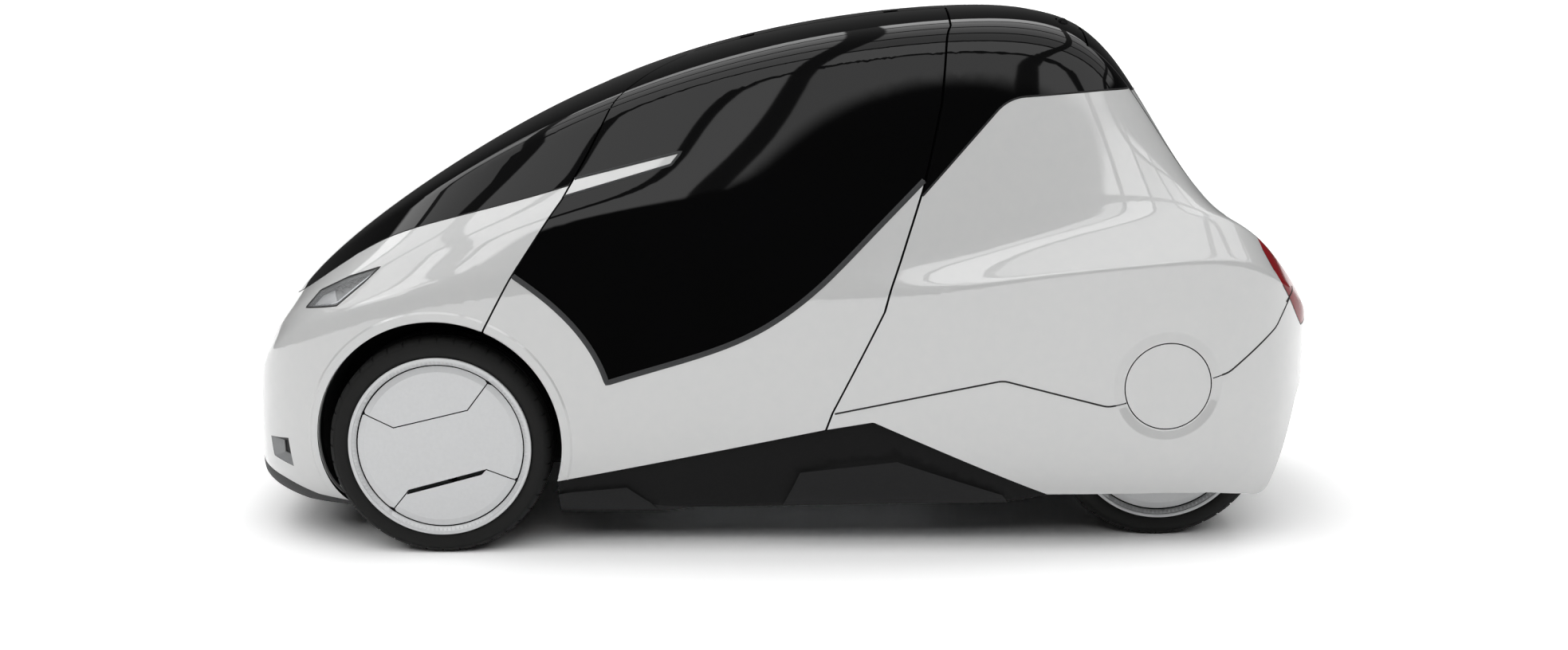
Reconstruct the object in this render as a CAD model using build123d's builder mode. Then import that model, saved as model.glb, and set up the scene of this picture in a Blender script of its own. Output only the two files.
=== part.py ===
from build123d import *
import os
from collections import namedtuple
from math import cos, radians, sin

# Small electric city car with two seats in line, gull-wing doors and a rear hatch.
# Millimetres. The nose looks along -X, the car's left side along -Y, and +Z is up.
# The origin is on the ground, under the middle of the car.

# Overall size
LENGTH = 2900.0
WIDTH = 1210.4
HEIGHT = 1403.8

# Body shell
WALL = 45.0
GLASS = 8.0
LAMP_DEPTH = 25.0
DOOR_GAP = 6.0
HULL_BOTTOM = 100.0

# Wheels and axles
WHEEL_RADIUS = 290.0
TYRE_WIDTH = 175.0
RIM_RADIUS = 238.0
RIM_LIP = 10.0
RIM_WALL = 9.0
HEEL = 5.0
BULGE = 24.0
SHOULDER_DROP = 11.0
SHOULDER = 36.0
COVER_THICKNESS = 12.0
COVER_INSET = 9.0
COVER_CROWN = 4.0
COVER_EDGE = 20.0
FLANGE = 9.0
COVER_GROOVE = 4.0
COVER_LINE_WIDTH = 3.0
COVER_LINE_DEPTH = 3.0
FRONT_AXLE_X = -895.0
FRONT_TRACK_HALF = 490.0
REAR_AXLE_X = 1010.0
REAR_TRACK_HALF = 345.0
ARCH_GAP = 32.0
ARCH_RISE = 15.0
LINER_GAP = 6.0
LINER_WALL = 5.0
LINER_INNER = 255.0
LINER_DROP = 150.0
WISHBONE_ROOM = 155.0
SPINDLE_RADIUS = 15.0
SPINDLE_LENGTH = 55.0
HUB_RADIUS = 36.0
HUB_GAP = 6.0
RUNNING_FIT = 0.3
KINGPIN_INSET = 25.0
KINGPIN_RADIUS = 10.0
KINGPIN_HALF = 118.0
UPRIGHT_WIDTH = 60.0
UPRIGHT_DEPTH = 38.0
EYE_RADIUS = 22.0
EYE_HEIGHT = 28.0
WISHBONE_WIDTH = 30.0
SUBFRAME_HALF = 225.0
SUBFRAME_LENGTH = 150.0
AXLE_TUBE_RADIUS = 28.0

# Floor and what it carries
FLOOR_Z = 150.0
FLOOR_THICKNESS = 25.0
FLOOR_HALF = 500.0
FLOOR_FRONT, FLOOR_REAR = -545.0, 660.0
TUNNEL_HALF = 225.0
TUNNEL_FRONT, TUNNEL_REAR = -1180.0, 860.0
FIREWALL_X = -640.0
FIREWALL_TOP = 660.0
FIREWALL_THICKNESS = 22.0
BATTERY_HALF = 360.0
BATTERY_FRONT, BATTERY_REAR = -380.0, 420.0
BATTERY_HEIGHT = 50.0
DRIVE_LENGTH, DRIVE_HALF, DRIVE_HEIGHT = 210.0, 150.0, 190.0
PIVOT_BAR_X = 620.0
PIVOT_BAR = 44.0
TRAILING_ARM_Y = 234.0
TRAILING_ARM_WIDTH = 22.0
REAR_WHEEL_ROOM = 20.0
SEAT_WIDTH = 430.0
SEAT_ROUND = 22.0
DASH_WIDTH = 740.0
STEERING_X, STEERING_Z, STEERING_TILT = -395.0, 800.0, 25.0
STEERING_RADIUS, STEERING_GRIP = 165.0, 12.0
STEERING_HUB, STEERING_SPOKE = 45.0, 20.0
COLUMN_RADIUS, COLUMN_LENGTH = 20.0, 150.0
JACK_X = 430.0
JACK_Y = 430.0
JACK_BORE = 22.0
JACK_DEPTH = 24.0
JACK_BOSS = 30.0
JACK_BOSS_HEIGHT = 30.0

# Door and hatch hinges
SPINE_HALF = 90.0
SPINE_GAP = 14.0
DOOR_AXIS = (100.0, -40.0, 1329.0)
DOOR_AXIS_TILT = 9.1
DOOR_HINGE_SPREAD = 200.0
HATCH_HALF = 300.0
HATCH_AXIS_X, HATCH_AXIS_Z = 745.0, 1362.0
HATCH_EDGE_X = 795.0
HATCH_HINGE_SPREAD = 190.0
HATCH_ARM_TILT = 30.0
HATCH_FOOT = 905.0
HATCH_SPLIT = 1192.0
PIN_RADIUS = 7.0
KNUCKLE_RADIUS = 15.0
KNUCKLE_LENGTH = 28.0
KNUCKLE_ROOM = 6.0
ARM_HEIGHT = 14.0

# The body's lines are drawn at this size and stretched to the overall size above.
DRAWN_LENGTH = 2900.0
DRAWN_WIDTH = 1210.4
DRAWN_HEIGHT = 1403.8
STRETCH_X = LENGTH / DRAWN_LENGTH
STRETCH_Y = WIDTH / DRAWN_WIDTH
STRETCH_Z = HEIGHT / DRAWN_HEIGHT
REACH = LENGTH

# Half sections of the hull, nose to tail: the widest line, the crease along the flank,
# the shelf above it, the cant rail, the crown on the centre line and the lower edge,
# and how sharp the crease and the shelf are, from 0 to 1.
Station = namedtuple("Station", "x wide crease_y crease_z shelf_y shelf_z cant_y cant_z crown_z base_y edge")
STATIONS = [
    Station(-1450, 40, 36, 345, 30, 370, 20, 385, 392, 25, 0),
    Station(-1450, 215, 200, 345, 170, 370, 110, 385, 392, 140, 0),
    Station(-1432, 340, 320, 400, 270, 432, 180, 452, 462, 230, 0),
    Station(-1380, 460, 435, 500, 370, 545, 245, 575, 590, 335, 0),
    Station(-1270, 545, 522, 590, 448, 655, 290, 710, 730, 430, 0),
    Station(-1090, 590, 575, 655, 505, 745, 330, 842, 868, 490, 0),
    Station(-880, 606, 592, 705, 540, 820, 365, 972, 1006, 510, 0),
    Station(-560, 606, 596, 730, 555, 900, 400, 1135, 1182, 515, 0),
    Station(-130, 604, 592, 700, 548, 905, 412, 1275, 1328, 515, 0),
    Station(300, 602, 590, 690, 572, 745, 395, 1345, 1398, 515, 0.55),
    Station(640, 602, 592, 745, 525, 822, 355, 1355, 1412, 510, 0.85),
    Station(845, 600, 590, 766, 498, 865, 335, 1290, 1362, 505, 0.95),
    Station(990, 594, 580, 778, 482, 890, 312, 1080, 1135, 500, 0.95),
    Station(1140, 570, 552, 784, 458, 890, 290, 880, 876, 480, 0.9),
    Station(1260, 525, 505, 748, 415, 815, 260, 818, 818, 440, 0.7),
    Station(1362, 435, 420, 660, 345, 690, 220, 697, 700, 365, 0.4),
    Station(1450, 250, 240, 560, 195, 580, 125, 588, 590, 200, 0),
    Station(1450, 40, 36, 560, 30, 580, 20, 588, 590, 25, 0),
]
# Places of the points beside the crease and the shelf, as shares (y, z) of the way: soft, then sharp
UNDER_CREASE = [(0.70, 0.88), (0.97, 0.985)]
OVER_CREASE = [(0.30, 0.35), (0.05, 0.05)]
UNDER_SHELF = [(0.85, 0.80), (0.96, 0.96)]
OVER_SHELF = [(0.10, 0.12), (0.03, 0.04)]
# How far the shelf and the cant rail move with an inset, and the least share of a width that stays
SHELF_INSET_Z, CANT_INSET_Y, CANT_INSET_Z = 0.3, 0.85, 0.75
LEAST_SHARE = 0.3
DEGREE = 3
HULL_ROWS = 41
HULL_COLUMNS = 73
HULL_TOLERANCE = 0.8

# Side-view lines (x, z) where the panels meet, nose to tail: a Flowing line is drawn smooth through
# its points, a Rounded line straight with round corners, and a plain list straight.
Flowing = namedtuple("Flowing", "points")
Rounded = namedtuple("Rounded", "points radius")
HOOD_LINE = Flowing([(-1500, 560), (-1255, 685), (-1041, 816), (-874, 874), (-700, 922), (-520, 976)])
NOSE_EDGE = [(-1500, 230), (-1330, 175), (-1240, 134), (-1150, 118)]
SPLITTER_EDGE = [(-1150, 100), (-1285, 100), (-1420, 170), (-1500, 200)]
DOOR_SILL = [(-1000, 115), (97, 342), (400, 405)]
GLASS_FRONT = Flowing([(-800, 812), (-690, 745), (-596, 675), (-507, 577), (-454, 469)])
GLASS_FOOT = Flowing([(-454, 469), (-273, 523), (-67, 602), (75, 702), (216, 837), (351, 970), (500, 1116)])
BELT_LINE = Rounded([(300, 880), (580, 1181), (827, 1197), (1500, 1210)], 110)
SKIRT_LINE = Rounded([
    (60, 372), (562, 474), (835, 403), (989, 440), (1150, 487), (1285, 592), (1345, 685), (1500, 690),
], 60)
TAIL_EDGE = Rounded([(1480, 520), (1375, 380), (1335, 255), (1290, 118), (1230, 134), (1130, 150)], 30)
TAIL_INSIDE = [(1130, 156), (1277, 156), (1313, 255), (1353, 380), (1455, 520)]
SKIRT_EDGE = Rounded([(1000, 156), (691, 156), (230, 364), (97, 342), (60, 336)], 20)
ROOF_SPLIT_X = -215.0

# Seams of the left door on the outer skin (x, y, z), from the roof down
DOOR_FRONT = [(-237, -98, 1280), (-445, -400, 1180), (-572, -545, 973), (-764, -600, 610), (-1000, -620, 60)]
DOOR_REAR = [
    (440, -98, 1386), (433, -330, 1355), (402, -440, 1180), (355, -505, 960),
    (315, -545, 842), (253, -600, 657), (122, -605, 391), (20, -600, 120),
]

# Side-view outlines (x, z) of lamps, vents, windows and the sill
BLADE = [(-640, 955), (-572, 973), (-263, 1050), (-289, 1018), (-592, 930), (-660, 912)]
HEADLAMP = [(-1252, 639), (-1214, 683), (-1129, 725), (-1042, 755), (-1084, 715), (-1154, 657)]
NOSE_VENT = [(-1365, 290), (-1305, 298), (-1296, 219), (-1358, 237)]
TAIL_LAMP = [
    (1236, 835), (1320, 835), (1480, 660), (1480, 572), (1385, 572),
    (1365, 600), (1329, 660), (1275, 740), (1250, 790),
]
DOOR_WINDOW = [
    (-520, 790), (-425, 590), (-270, 610), (-90, 680), (40, 780), (240, 970), (290, 1160), (-380, 1100),
]
QUARTER_WINDOW = [(480, 1120), (480, 1270), (690, 1280), (745, 1240), (610, 1225), (550, 1190)]
SILL_PLATE = [
    (-590, 95), (-590, 195), (97, 336), (228, 359), (691, 152), (590, 130), (-240, 112), (-330, 95),
]
SILL_FRONT = [(-590, 95), (-590, 158), (-556, 165), (-410, 180), (-352, 130), (-326, 95)]
SILL_REAR = [(-4, 120), (42, 225), (294, 255), (572, 155), (590, 130)]
SILL_RECESS = 16.0
LAMP_INNER_Y = 150.0
VENT_RECESS = 12.0
DISC_X, DISC_Z = 989.0, 456.0
DISC_RADIUS = 112.0
DISC_DEPTH = 15.0
DISC_GAP = 3.0

# Plan-view outline (x, y) of the windscreen's opening, left half, and the hatch window's size
SCREEN_OPENING = [(-1195, 0), (-1195, -225), (-760, -330), (-480, -320), (-300, -150), (-300, 0)]
HATCH_WINDOW_HALF = 225.0
HATCH_WINDOW_LOW = 1225.0
HATCH_WINDOW_X = 850.0

# Side-view profiles (x, z) of the seats and the dashboard
FRONT_SEAT = [
    (-150, 175), (-190, 330), (-250, 350), (-245, 415), (130, 385), (290, 930),
    (330, 985), (385, 970), (390, 930), (230, 330), (150, 300), (150, 175),
]
REAR_SEAT = [
    (670, 175), (560, 380), (480, 400), (485, 455), (770, 430), (850, 1010),
    (890, 1040), (935, 1020), (930, 980), (850, 350), (830, 175),
]
DASHBOARD = [(-662, 660), (-690, 720), (-640, 800), (-520, 790), (-480, 740), (-500, 670), (-560, 660)]

# Lines across the wheel cover (x, z) from its centre, and the open slot along the lower one
COVER_LINES = [
    [(-201, 91), (-119, 51), (75, 98), (134, 176)],
    [(-134, -177), (-86, -118), (119, -62), (201, -94)],
]
COVER_SLOT = [(-86, -118), (119, -62), (106, -76), (-92, -130)]


def between(start, end, share):
    """Value at a share of the way from start to end."""
    return start + (end - start) * share


def side(points):
    """Side-view points at the car's own length and height."""
    return [(x * STRETCH_X, z * STRETCH_Z) for x, z in points]


def spline_point(points, t):
    """Point at t, from 0 to 1, on the clamped cubic B-spline with these control points."""
    spans = len(points) - DEGREE
    span = min(int(t * spans), spans - 1)
    knots = [min(max(k - DEGREE, 0), spans) / spans for k in range(len(points) + DEGREE + 1)]
    work = points[span:span + DEGREE + 1]
    for level in range(1, DEGREE + 1):
        for j in range(DEGREE, level - 1, -1):
            low = knots[span + j]
            high = knots[span + j + 1 + DEGREE - level]
            share = (t - low) / (high - low)
            work[j] = work[j - 1] * (1 - share) + work[j] * share
    return work[DEGREE]


def hull_section(station, inset):
    """Control points of one whole section, over the crown from the left lower edge to the right."""
    x = station.x * (STRETCH_X - inset / (DRAWN_LENGTH / 2))
    widths = (station.wide, station.crease_y, station.shelf_y, station.base_y)
    wide, crease_y, shelf_y, base_y = (max(y * STRETCH_Y - inset, LEAST_SHARE * y) for y in widths)
    cant_y = max(station.cant_y * STRETCH_Y - CANT_INSET_Y * inset, LEAST_SHARE * station.cant_y)
    crease_z = station.crease_z * STRETCH_Z
    shelf_z = station.shelf_z * STRETCH_Z - SHELF_INSET_Z * inset
    cant_z = station.cant_z * STRETCH_Z - CANT_INSET_Z * inset
    crown_z = station.crown_z * STRETCH_Z - inset
    base_z = HULL_BOTTOM - inset
    under, over, up, past = (
        [between(soft, sharp, station.edge) for soft, sharp in zip(*pair)]
        for pair in (UNDER_CREASE, OVER_CREASE, UNDER_SHELF, OVER_SHELF)
    )
    half = [
        (base_y, base_z),
        (between(base_y, wide, 0.75), between(base_z, crease_z, 0.10)),
        (wide, between(base_z, crease_z, 0.32)),
        (wide, between(base_z, crease_z, 0.62)),
        (between(wide, crease_y, under[0]), between(base_z, crease_z, under[1])),
        (crease_y, crease_z),
        (between(crease_y, shelf_y, over[0]), between(crease_z, shelf_z, over[1])),
        (between(crease_y, shelf_y, up[0]), between(crease_z, shelf_z, up[1])),
        (between(shelf_y, cant_y, past[0]), between(shelf_z, cant_z, past[1])),
        (between(shelf_y, cant_y, 0.50), between(shelf_z, cant_z, 0.52)),
        (between(shelf_y, cant_y, 0.88), between(shelf_z, cant_z, 0.88)),
        (cant_y * 0.98, between(cant_z, crown_z, 0.12)),
        (cant_y * 0.72, between(cant_z, crown_z, 0.72)),
        (cant_y * 0.36, crown_z),
    ]
    left = [Vector(x, -y, z) for y, z in half]
    right = [Vector(x, y, z) for y, z in reversed(half)]
    return [*left, Vector(x, 0, crown_z), *right]


def hull(inset):
    """Solid of the car's outer form, with its skin moved in by inset and its foot moved down as far."""
    sections = [hull_section(station, inset) for station in STATIONS]
    grid = []
    for row in range(HULL_ROWS):
        along = row / (HULL_ROWS - 1)
        section = [spline_point(list(line), along) for line in zip(*sections)]
        grid.append([spline_point(section, column / (HULL_COLUMNS - 1)) for column in range(HULL_COLUMNS)])
    skin = Face.make_surface_from_array_of_points(grid, tol=HULL_TOLERANCE, min_deg=DEGREE, max_deg=DEGREE)
    ends = skin.edges().sort_by(Axis.X)
    nose, tail = ends[0], ends[-1]
    nose_foot = Edge.make_line(nose @ 0, nose @ 1)
    tail_foot = Edge.make_line(tail @ 0, tail @ 1)
    foot = Wire.combine([nose_foot, *ends[1:3], tail_foot])[0]
    return Solid(Shell([skin, Face(Wire([nose, nose_foot])), Face(Wire([tail, tail_foot])), Face(foot)]))


def backwards(line):
    """The same line from its other end."""
    return line._replace(points=line.points[::-1])


def side_prism(*runs):
    """Block right through the car, with the side-view outline that these runs of lines make."""
    corners = [side(run if isinstance(run, list) else run.points) for run in runs]
    with BuildPart() as prism:
        with BuildSketch(Plane.XZ):
            with BuildLine():
                for run, points, after in zip(runs, corners, [*corners[1:], corners[0]]):
                    if isinstance(run, list):
                        Polyline(*points, after[0])
                        continue
                    if isinstance(run, Flowing):
                        Spline(*points)
                    else:
                        FilletPolyline(*points, radius=run.radius)
                    if points[-1] != after[0]:
                        Line(points[-1], after[0])
            make_face()
        extrude(amount=REACH, both=True)
    return prism.part


def slab(x0, x1, y0, y1, z0, z1):
    """Block between two corners."""
    with BuildPart() as block:
        with Locations(((x0 + x1) / 2, (y0 + y1) / 2, (z0 + z1) / 2)):
            Box(x1 - x0, y1 - y0, z1 - z0)
    return block.part


def cylinder_across(x, z, radius):
    """Round bar along Y, right through the car."""
    with BuildPart() as bar:
        with BuildSketch(Plane.XZ):
            with Locations((x, z)):
                Circle(radius)
        extrude(amount=REACH, both=True)
    return bar.part


def shell_piece(outside, inside, keep, remove=()):
    """What lies between two hulls, inside every keep block and outside every remove block."""
    with BuildPart() as piece:
        add(outside)
        for block in keep:
            add(block, mode=Mode.INTERSECT)
        for block in [inside, *remove]:
            add(block, mode=Mode.SUBTRACT)
    return piece.part


def mirrored(part):
    """The same piece on the car's other side."""
    return part.mirror(Plane.XZ)


# Hulls inside one another: skin, back of the glass, lamp beds, inner wall and the room behind a door
outer = hull(0)
glass_back = hull(GLASS)
lamp_back = hull(LAMP_DEPTH)
inner = hull(WALL)
door_back = hull(WALL + DOOR_GAP)
sill_face = hull(SILL_RECESS)
vent_face = hull(VENT_RECESS)
disc_face = hull(DISC_DEPTH)

# Hinge line of the left door, along the roof
door_axis_origin = Vector(DOOR_AXIS[0] * STRETCH_X, DOOR_AXIS[1], DOOR_AXIS[2] * STRETCH_Z)
door_axis_direction = Vector(cos(radians(DOOR_AXIS_TILT)), 0, sin(radians(DOOR_AXIS_TILT)))
door_axis_plane = Plane(door_axis_origin, x_dir=door_axis_direction, z_dir=(0, -1, 0))
door_axis = Axis(door_axis_origin, door_axis_direction)


def turned(seam):
    """Seam points as (place along the door's hinge line, distance from it)."""
    places = []
    for x, y, z in seam:
        arm = Vector(x * STRETCH_X, y * STRETCH_Y, z * STRETCH_Z) - door_axis_origin
        along = arm.dot(door_axis.direction)
        places.append((along, (arm - door_axis.direction * along).length))
    return places


def door_block(grow, spine_half, sill_lift):
    """Room of the left door, turned about its hinge so that the door can swing out of it."""
    front = [(along - grow, away) for along, away in turned(DOOR_FRONT)]
    rear = [(along + grow, away) for along, away in turned(DOOR_REAR)]
    top = [(rear[0][0], 0), (front[0][0], 0)]
    above_sill = side_prism([*[(x, z + sill_lift) for x, z in DOOR_SILL], (REACH, REACH), (-REACH, REACH)])
    outboard = slab(-REACH, REACH, -REACH, -spine_half, -REACH, REACH)
    with BuildPart() as block:
        with BuildSketch(door_axis_plane):
            with BuildLine():
                Polyline(*front, *reversed(rear), *top, close=True)
            make_face()
        revolve(axis=door_axis)
        add(above_sill, mode=Mode.INTERSECT)
        add(outboard, mode=Mode.INTERSECT)
    return block.part


door_room = door_block(DOOR_GAP, SPINE_HALF, -DOOR_GAP)
door_rooms = [door_room, mirrored(door_room)]
door_fill = door_block(0, SPINE_HALF + SPINE_GAP, 0)
hatch_top = HATCH_EDGE_X * STRETCH_X
hatch_foot = HATCH_FOOT * STRETCH_Z
hatch_room = slab(hatch_top, REACH, -HATCH_HALF - DOOR_GAP, HATCH_HALF + DOOR_GAP, hatch_foot, REACH)
hatch_fill = slab(hatch_top + DOOR_GAP, REACH, -HATCH_HALF, HATCH_HALF, hatch_foot + DOOR_GAP, REACH)

# Hinges: (plane across the pin, direction from pin to panel along the plane's Y axis)
door_hinges = []
for spread in (-DOOR_HINGE_SPREAD, DOOR_HINGE_SPREAD):
    spot = door_axis_origin + door_axis.direction * spread
    door_hinges.append(Plane(spot, x_dir=(0, -1, 0), z_dir=door_axis.direction))
hatch_arm_direction = Vector(cos(radians(HATCH_ARM_TILT)), 0, -sin(radians(HATCH_ARM_TILT)))
hatch_hinges = []
for spread in (-HATCH_HINGE_SPREAD, HATCH_HINGE_SPREAD):
    spot = (HATCH_AXIS_X * STRETCH_X, spread, HATCH_AXIS_Z * STRETCH_Z)
    hatch_hinges.append(Plane(spot, x_dir=hatch_arm_direction, z_dir=(0, 1, 0)))


def hinge_arm(plane, reach):
    """Knuckle round the hinge pin with a flat arm of this reach to the panel."""
    with BuildPart() as arm:
        with BuildSketch(plane):
            Circle(KNUCKLE_RADIUS)
            with Locations((reach / 2, 0)):
                Rectangle(reach, ARM_HEIGHT)
            Circle(PIN_RADIUS + RUNNING_FIT, mode=Mode.SUBTRACT)
        extrude(amount=KNUCKLE_LENGTH / 2, both=True)
    return arm.part


def hinge_room(plane, reach):
    """Slot in the fixed frame where the arm swings."""
    length = KNUCKLE_LENGTH + 2 * KNUCKLE_ROOM
    back = KNUCKLE_RADIUS + KNUCKLE_ROOM
    with BuildPart() as room:
        with BuildSketch(plane):
            with Locations(((reach - back) / 2, 0)):
                Rectangle(reach + back, 4 * WALL)
        extrude(amount=length / 2, both=True)
    return room.part


def hinge_pin(plane):
    """Pin across the slot, held in the frame at both ends."""
    with BuildPart() as pin:
        with BuildSketch(plane):
            Circle(PIN_RADIUS)
        extrude(amount=KNUCKLE_LENGTH / 2 + 2 * KNUCKLE_ROOM, both=True)
    return pin.part


door_arm_reach = SPINE_HALF + SPINE_GAP + DOOR_AXIS[1] + 2 * KNUCKLE_RADIUS
hatch_arm_reach = (HATCH_EDGE_X - HATCH_AXIS_X) * STRETCH_X + DOOR_GAP + 2 * KNUCKLE_RADIUS
door_arms = [hinge_arm(plane, door_arm_reach) for plane in door_hinges]
hatch_arms = [hinge_arm(plane, hatch_arm_reach) for plane in hatch_hinges]
slots = []
pins = []
for plane in door_hinges:
    slot = hinge_room(plane, SPINE_HALF + SPINE_GAP)
    pin = hinge_pin(plane)
    slots += [slot, mirrored(slot)]
    pins += [pin, mirrored(pin)]
for plane in hatch_hinges:
    slots.append(hinge_room(plane, hatch_arm_reach))
    pins.append(hinge_pin(plane))

# Fixed body panels
over_doors = [(-430, 1010), (-300, 1150), (300, 1150)]
upper_block = side_prism(HOOD_LINE, over_doors, BELT_LINE, [(1500, 1600), (-1500, 1600)])
screen_block = slab(-REACH, ROOF_SPLIT_X * STRETCH_X, -REACH, REACH, -REACH, REACH)
canopy_block = slab(ROOF_SPLIT_X * STRETCH_X, REACH, -REACH, REACH, -REACH, REACH)
arch = cylinder_across(FRONT_AXLE_X, WHEEL_RADIUS + ARCH_RISE, WHEEL_RADIUS + ARCH_GAP)
both_sides = slab(-REACH, REACH, -LAMP_INNER_Y, LAMP_INNER_Y, -REACH, REACH)
headlamp_block = side_prism(HEADLAMP) - both_sides
vent_block = side_prism(NOSE_VENT) - both_sides
tail_lamp_block = side_prism(TAIL_LAMP) - both_sides
front_block = side_prism([*NOSE_EDGE, (-895, 118), (-895, 500), (-700, 560)], backwards(HOOD_LINE))
splitter_block = side_prism([*NOSE_EDGE, *SPLITTER_EDGE])
rear_block = side_prism(SKIRT_LINE, backwards(BELT_LINE))
skirt_block = side_prism(SKIRT_LINE, TAIL_EDGE, SKIRT_EDGE)
rear_wheel_side = REAR_TRACK_HALF + TYRE_WIDTH / 2 + HUB_GAP
with BuildPart() as rear_wheel_room:
    with BuildSketch(Plane.XZ):
        with Locations((REAR_AXLE_X, WHEEL_RADIUS)):
            Circle(WHEEL_RADIUS + REAR_WHEEL_ROOM)
    extrude(amount=rear_wheel_side, both=True)
disc_room = cylinder_across(DISC_X * STRETCH_X, DISC_Z * STRETCH_Z, DISC_RADIUS + DISC_GAP)
disc_bar = cylinder_across(DISC_X * STRETCH_X, DISC_Z * STRETCH_Z, DISC_RADIUS)
screen_opening = []
for turn in (1, -1):
    with BuildPart() as opening:
        with BuildSketch(Plane.XY):
            with BuildLine():
                Polyline(*[(x * STRETCH_X, turn * y * STRETCH_Y) for x, y in SCREEN_OPENING], close=True)
            make_face()
        extrude(amount=REACH)
    screen_opening.append(opening.part)

with BuildPart() as front_body:
    add(shell_piece(outer, inner, [front_block], [*door_rooms, arch, headlamp_block, vent_block]))
front_body.part.label = "front_body"

with BuildPart() as front_splitter:
    add(shell_piece(outer, inner, [splitter_block], [arch]))
    add(shell_piece(vent_face, inner, [vent_block]))
front_splitter.part.label = "front_splitter"

with BuildPart() as headlamps:
    add(shell_piece(outer, lamp_back, [headlamp_block]))
headlamps.part.label = "headlamps"

with BuildPart() as windscreen:
    add(shell_piece(outer, glass_back, [upper_block, screen_block], door_rooms))
windscreen.part.label = "windscreen"

with BuildPart() as canopy_skin:
    canopy_cuts = [*door_rooms, hatch_room, *slots, *pins]
    add(shell_piece(outer, glass_back, [upper_block, canopy_block], canopy_cuts))
canopy_skin.part.label = "canopy_skin"

with BuildPart() as cabin_frame:
    openings = [*screen_opening, side_prism(QUARTER_WINDOW)]
    add(shell_piece(glass_back, inner, [upper_block], [*door_rooms, hatch_room, *slots, *openings]))
    for pin in pins:
        add(pin)
cabin_frame.part.label = "cabin_frame"

with BuildPart() as rear_body:
    rear_cuts = [*door_rooms, hatch_room, tail_lamp_block, rear_wheel_room.part]
    add(shell_piece(outer, inner, [rear_block], rear_cuts))
    add(shell_piece(outer, disc_face, [disc_room]), mode=Mode.SUBTRACT)
rear_body.part.label = "rear_body"

with BuildPart() as rear_skirt:
    add(shell_piece(outer, inner, [skirt_block], [*door_rooms, tail_lamp_block, rear_wheel_room.part]))
    add(shell_piece(outer, rear_wheel_room.part, [side_prism(TAIL_EDGE, TAIL_INSIDE)], [tail_lamp_block]))
    add(shell_piece(outer, disc_face, [disc_room]), mode=Mode.SUBTRACT)
rear_skirt.part.label = "rear_skirt"

with BuildPart() as side_discs:
    add(shell_piece(outer, disc_face, [disc_bar]))
side_discs.part.label = "side_discs"

with BuildPart() as tail_lamps:
    add(shell_piece(outer, lamp_back, [tail_lamp_block]))
tail_lamps.part.label = "tail_lamps"

inboard = slab(-REACH, REACH, -FLOOR_HALF, FLOOR_HALF, -REACH, REACH)
with BuildPart() as side_sills:
    add(shell_piece(sill_face, inboard, [side_prism(SILL_PLATE)]))
    add(shell_piece(outer, inboard, [side_prism(SILL_FRONT)]))
    add(shell_piece(outer, inboard, [side_prism(SILL_REAR)]))
side_sills.part.label = "side_sills"

# Left door, and its mirror image on the right
above_glass_line = side_prism(GLASS_FRONT, GLASS_FOOT, [(500, 1600), (-900, 1600), (-900, 900)])
blade_block = side_prism(BLADE)
door_window = side_prism(DOOR_WINDOW)
with BuildPart() as door_panel_left:
    add(shell_piece(outer, inner, [door_fill], [arch, above_glass_line]))
    add(shell_piece(glass_back, inner, [door_fill, above_glass_line], [door_window]))
    for arm in door_arms:
        add(arm)
door_panel_left.part.label = "door_panel_left"

with BuildPart() as door_glass_left:
    add(shell_piece(outer, glass_back, [door_fill, above_glass_line], [blade_block, *door_arms]))
door_glass_left.part.label = "door_glass_left"

with BuildPart() as door_blade_left:
    add(shell_piece(outer, glass_back, [door_fill, blade_block]))
door_blade_left.part.label = "door_blade_left"

with BuildPart() as door_panel_right:
    add(mirrored(door_panel_left.part))
door_panel_right.part.label = "door_panel_right"

with BuildPart() as door_glass_right:
    add(mirrored(door_glass_left.part))
door_glass_right.part.label = "door_glass_right"

with BuildPart() as door_blade_right:
    add(mirrored(door_blade_left.part))
door_blade_right.part.label = "door_blade_right"

# Hatch: white lower panel with the frame round its window, and the glass over it
split_z = HATCH_SPLIT * STRETCH_Z
hatch_upper = slab(-REACH, REACH, -REACH, REACH, split_z, REACH)
window_x, window_low = HATCH_WINDOW_X * STRETCH_X, HATCH_WINDOW_LOW * STRETCH_Z
hatch_window = slab(window_x, REACH, -HATCH_WINDOW_HALF, HATCH_WINDOW_HALF, window_low, REACH)
with BuildPart() as hatch_panel:
    add(shell_piece(outer, inner, [hatch_fill], [hatch_upper]))
    add(shell_piece(glass_back, inner, [hatch_fill, hatch_upper], [hatch_window]))
    for arm in hatch_arms:
        add(arm)
hatch_panel.part.label = "hatch_panel"

with BuildPart() as hatch_glass:
    add(shell_piece(outer, glass_back, [hatch_fill, hatch_upper], hatch_arms))
hatch_glass.part.label = "hatch_glass"

# Floor with its firewall, and the four jacking sockets under it
with BuildPart() as floor_pan:
    with BuildSketch(Plane.XY.offset(FLOOR_Z)):
        with BuildLine():
            half = [
                (TUNNEL_FRONT, -TUNNEL_HALF), (FLOOR_FRONT, -TUNNEL_HALF), (FLOOR_FRONT, -FLOOR_HALF),
                (FLOOR_REAR, -FLOOR_HALF), (FLOOR_REAR, -TUNNEL_HALF), (TUNNEL_REAR, -TUNNEL_HALF),
            ]
            Polyline(*half, *[(x, -y) for x, y in reversed(half)], close=True)
        make_face()
    extrude(amount=FLOOR_THICKNESS)
    add(slab(FIREWALL_X - FIREWALL_THICKNESS, FIREWALL_X, -TUNNEL_HALF, TUNNEL_HALF, FLOOR_Z, FIREWALL_TOP))
floor_pan.part.label = "floor_pan"

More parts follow.
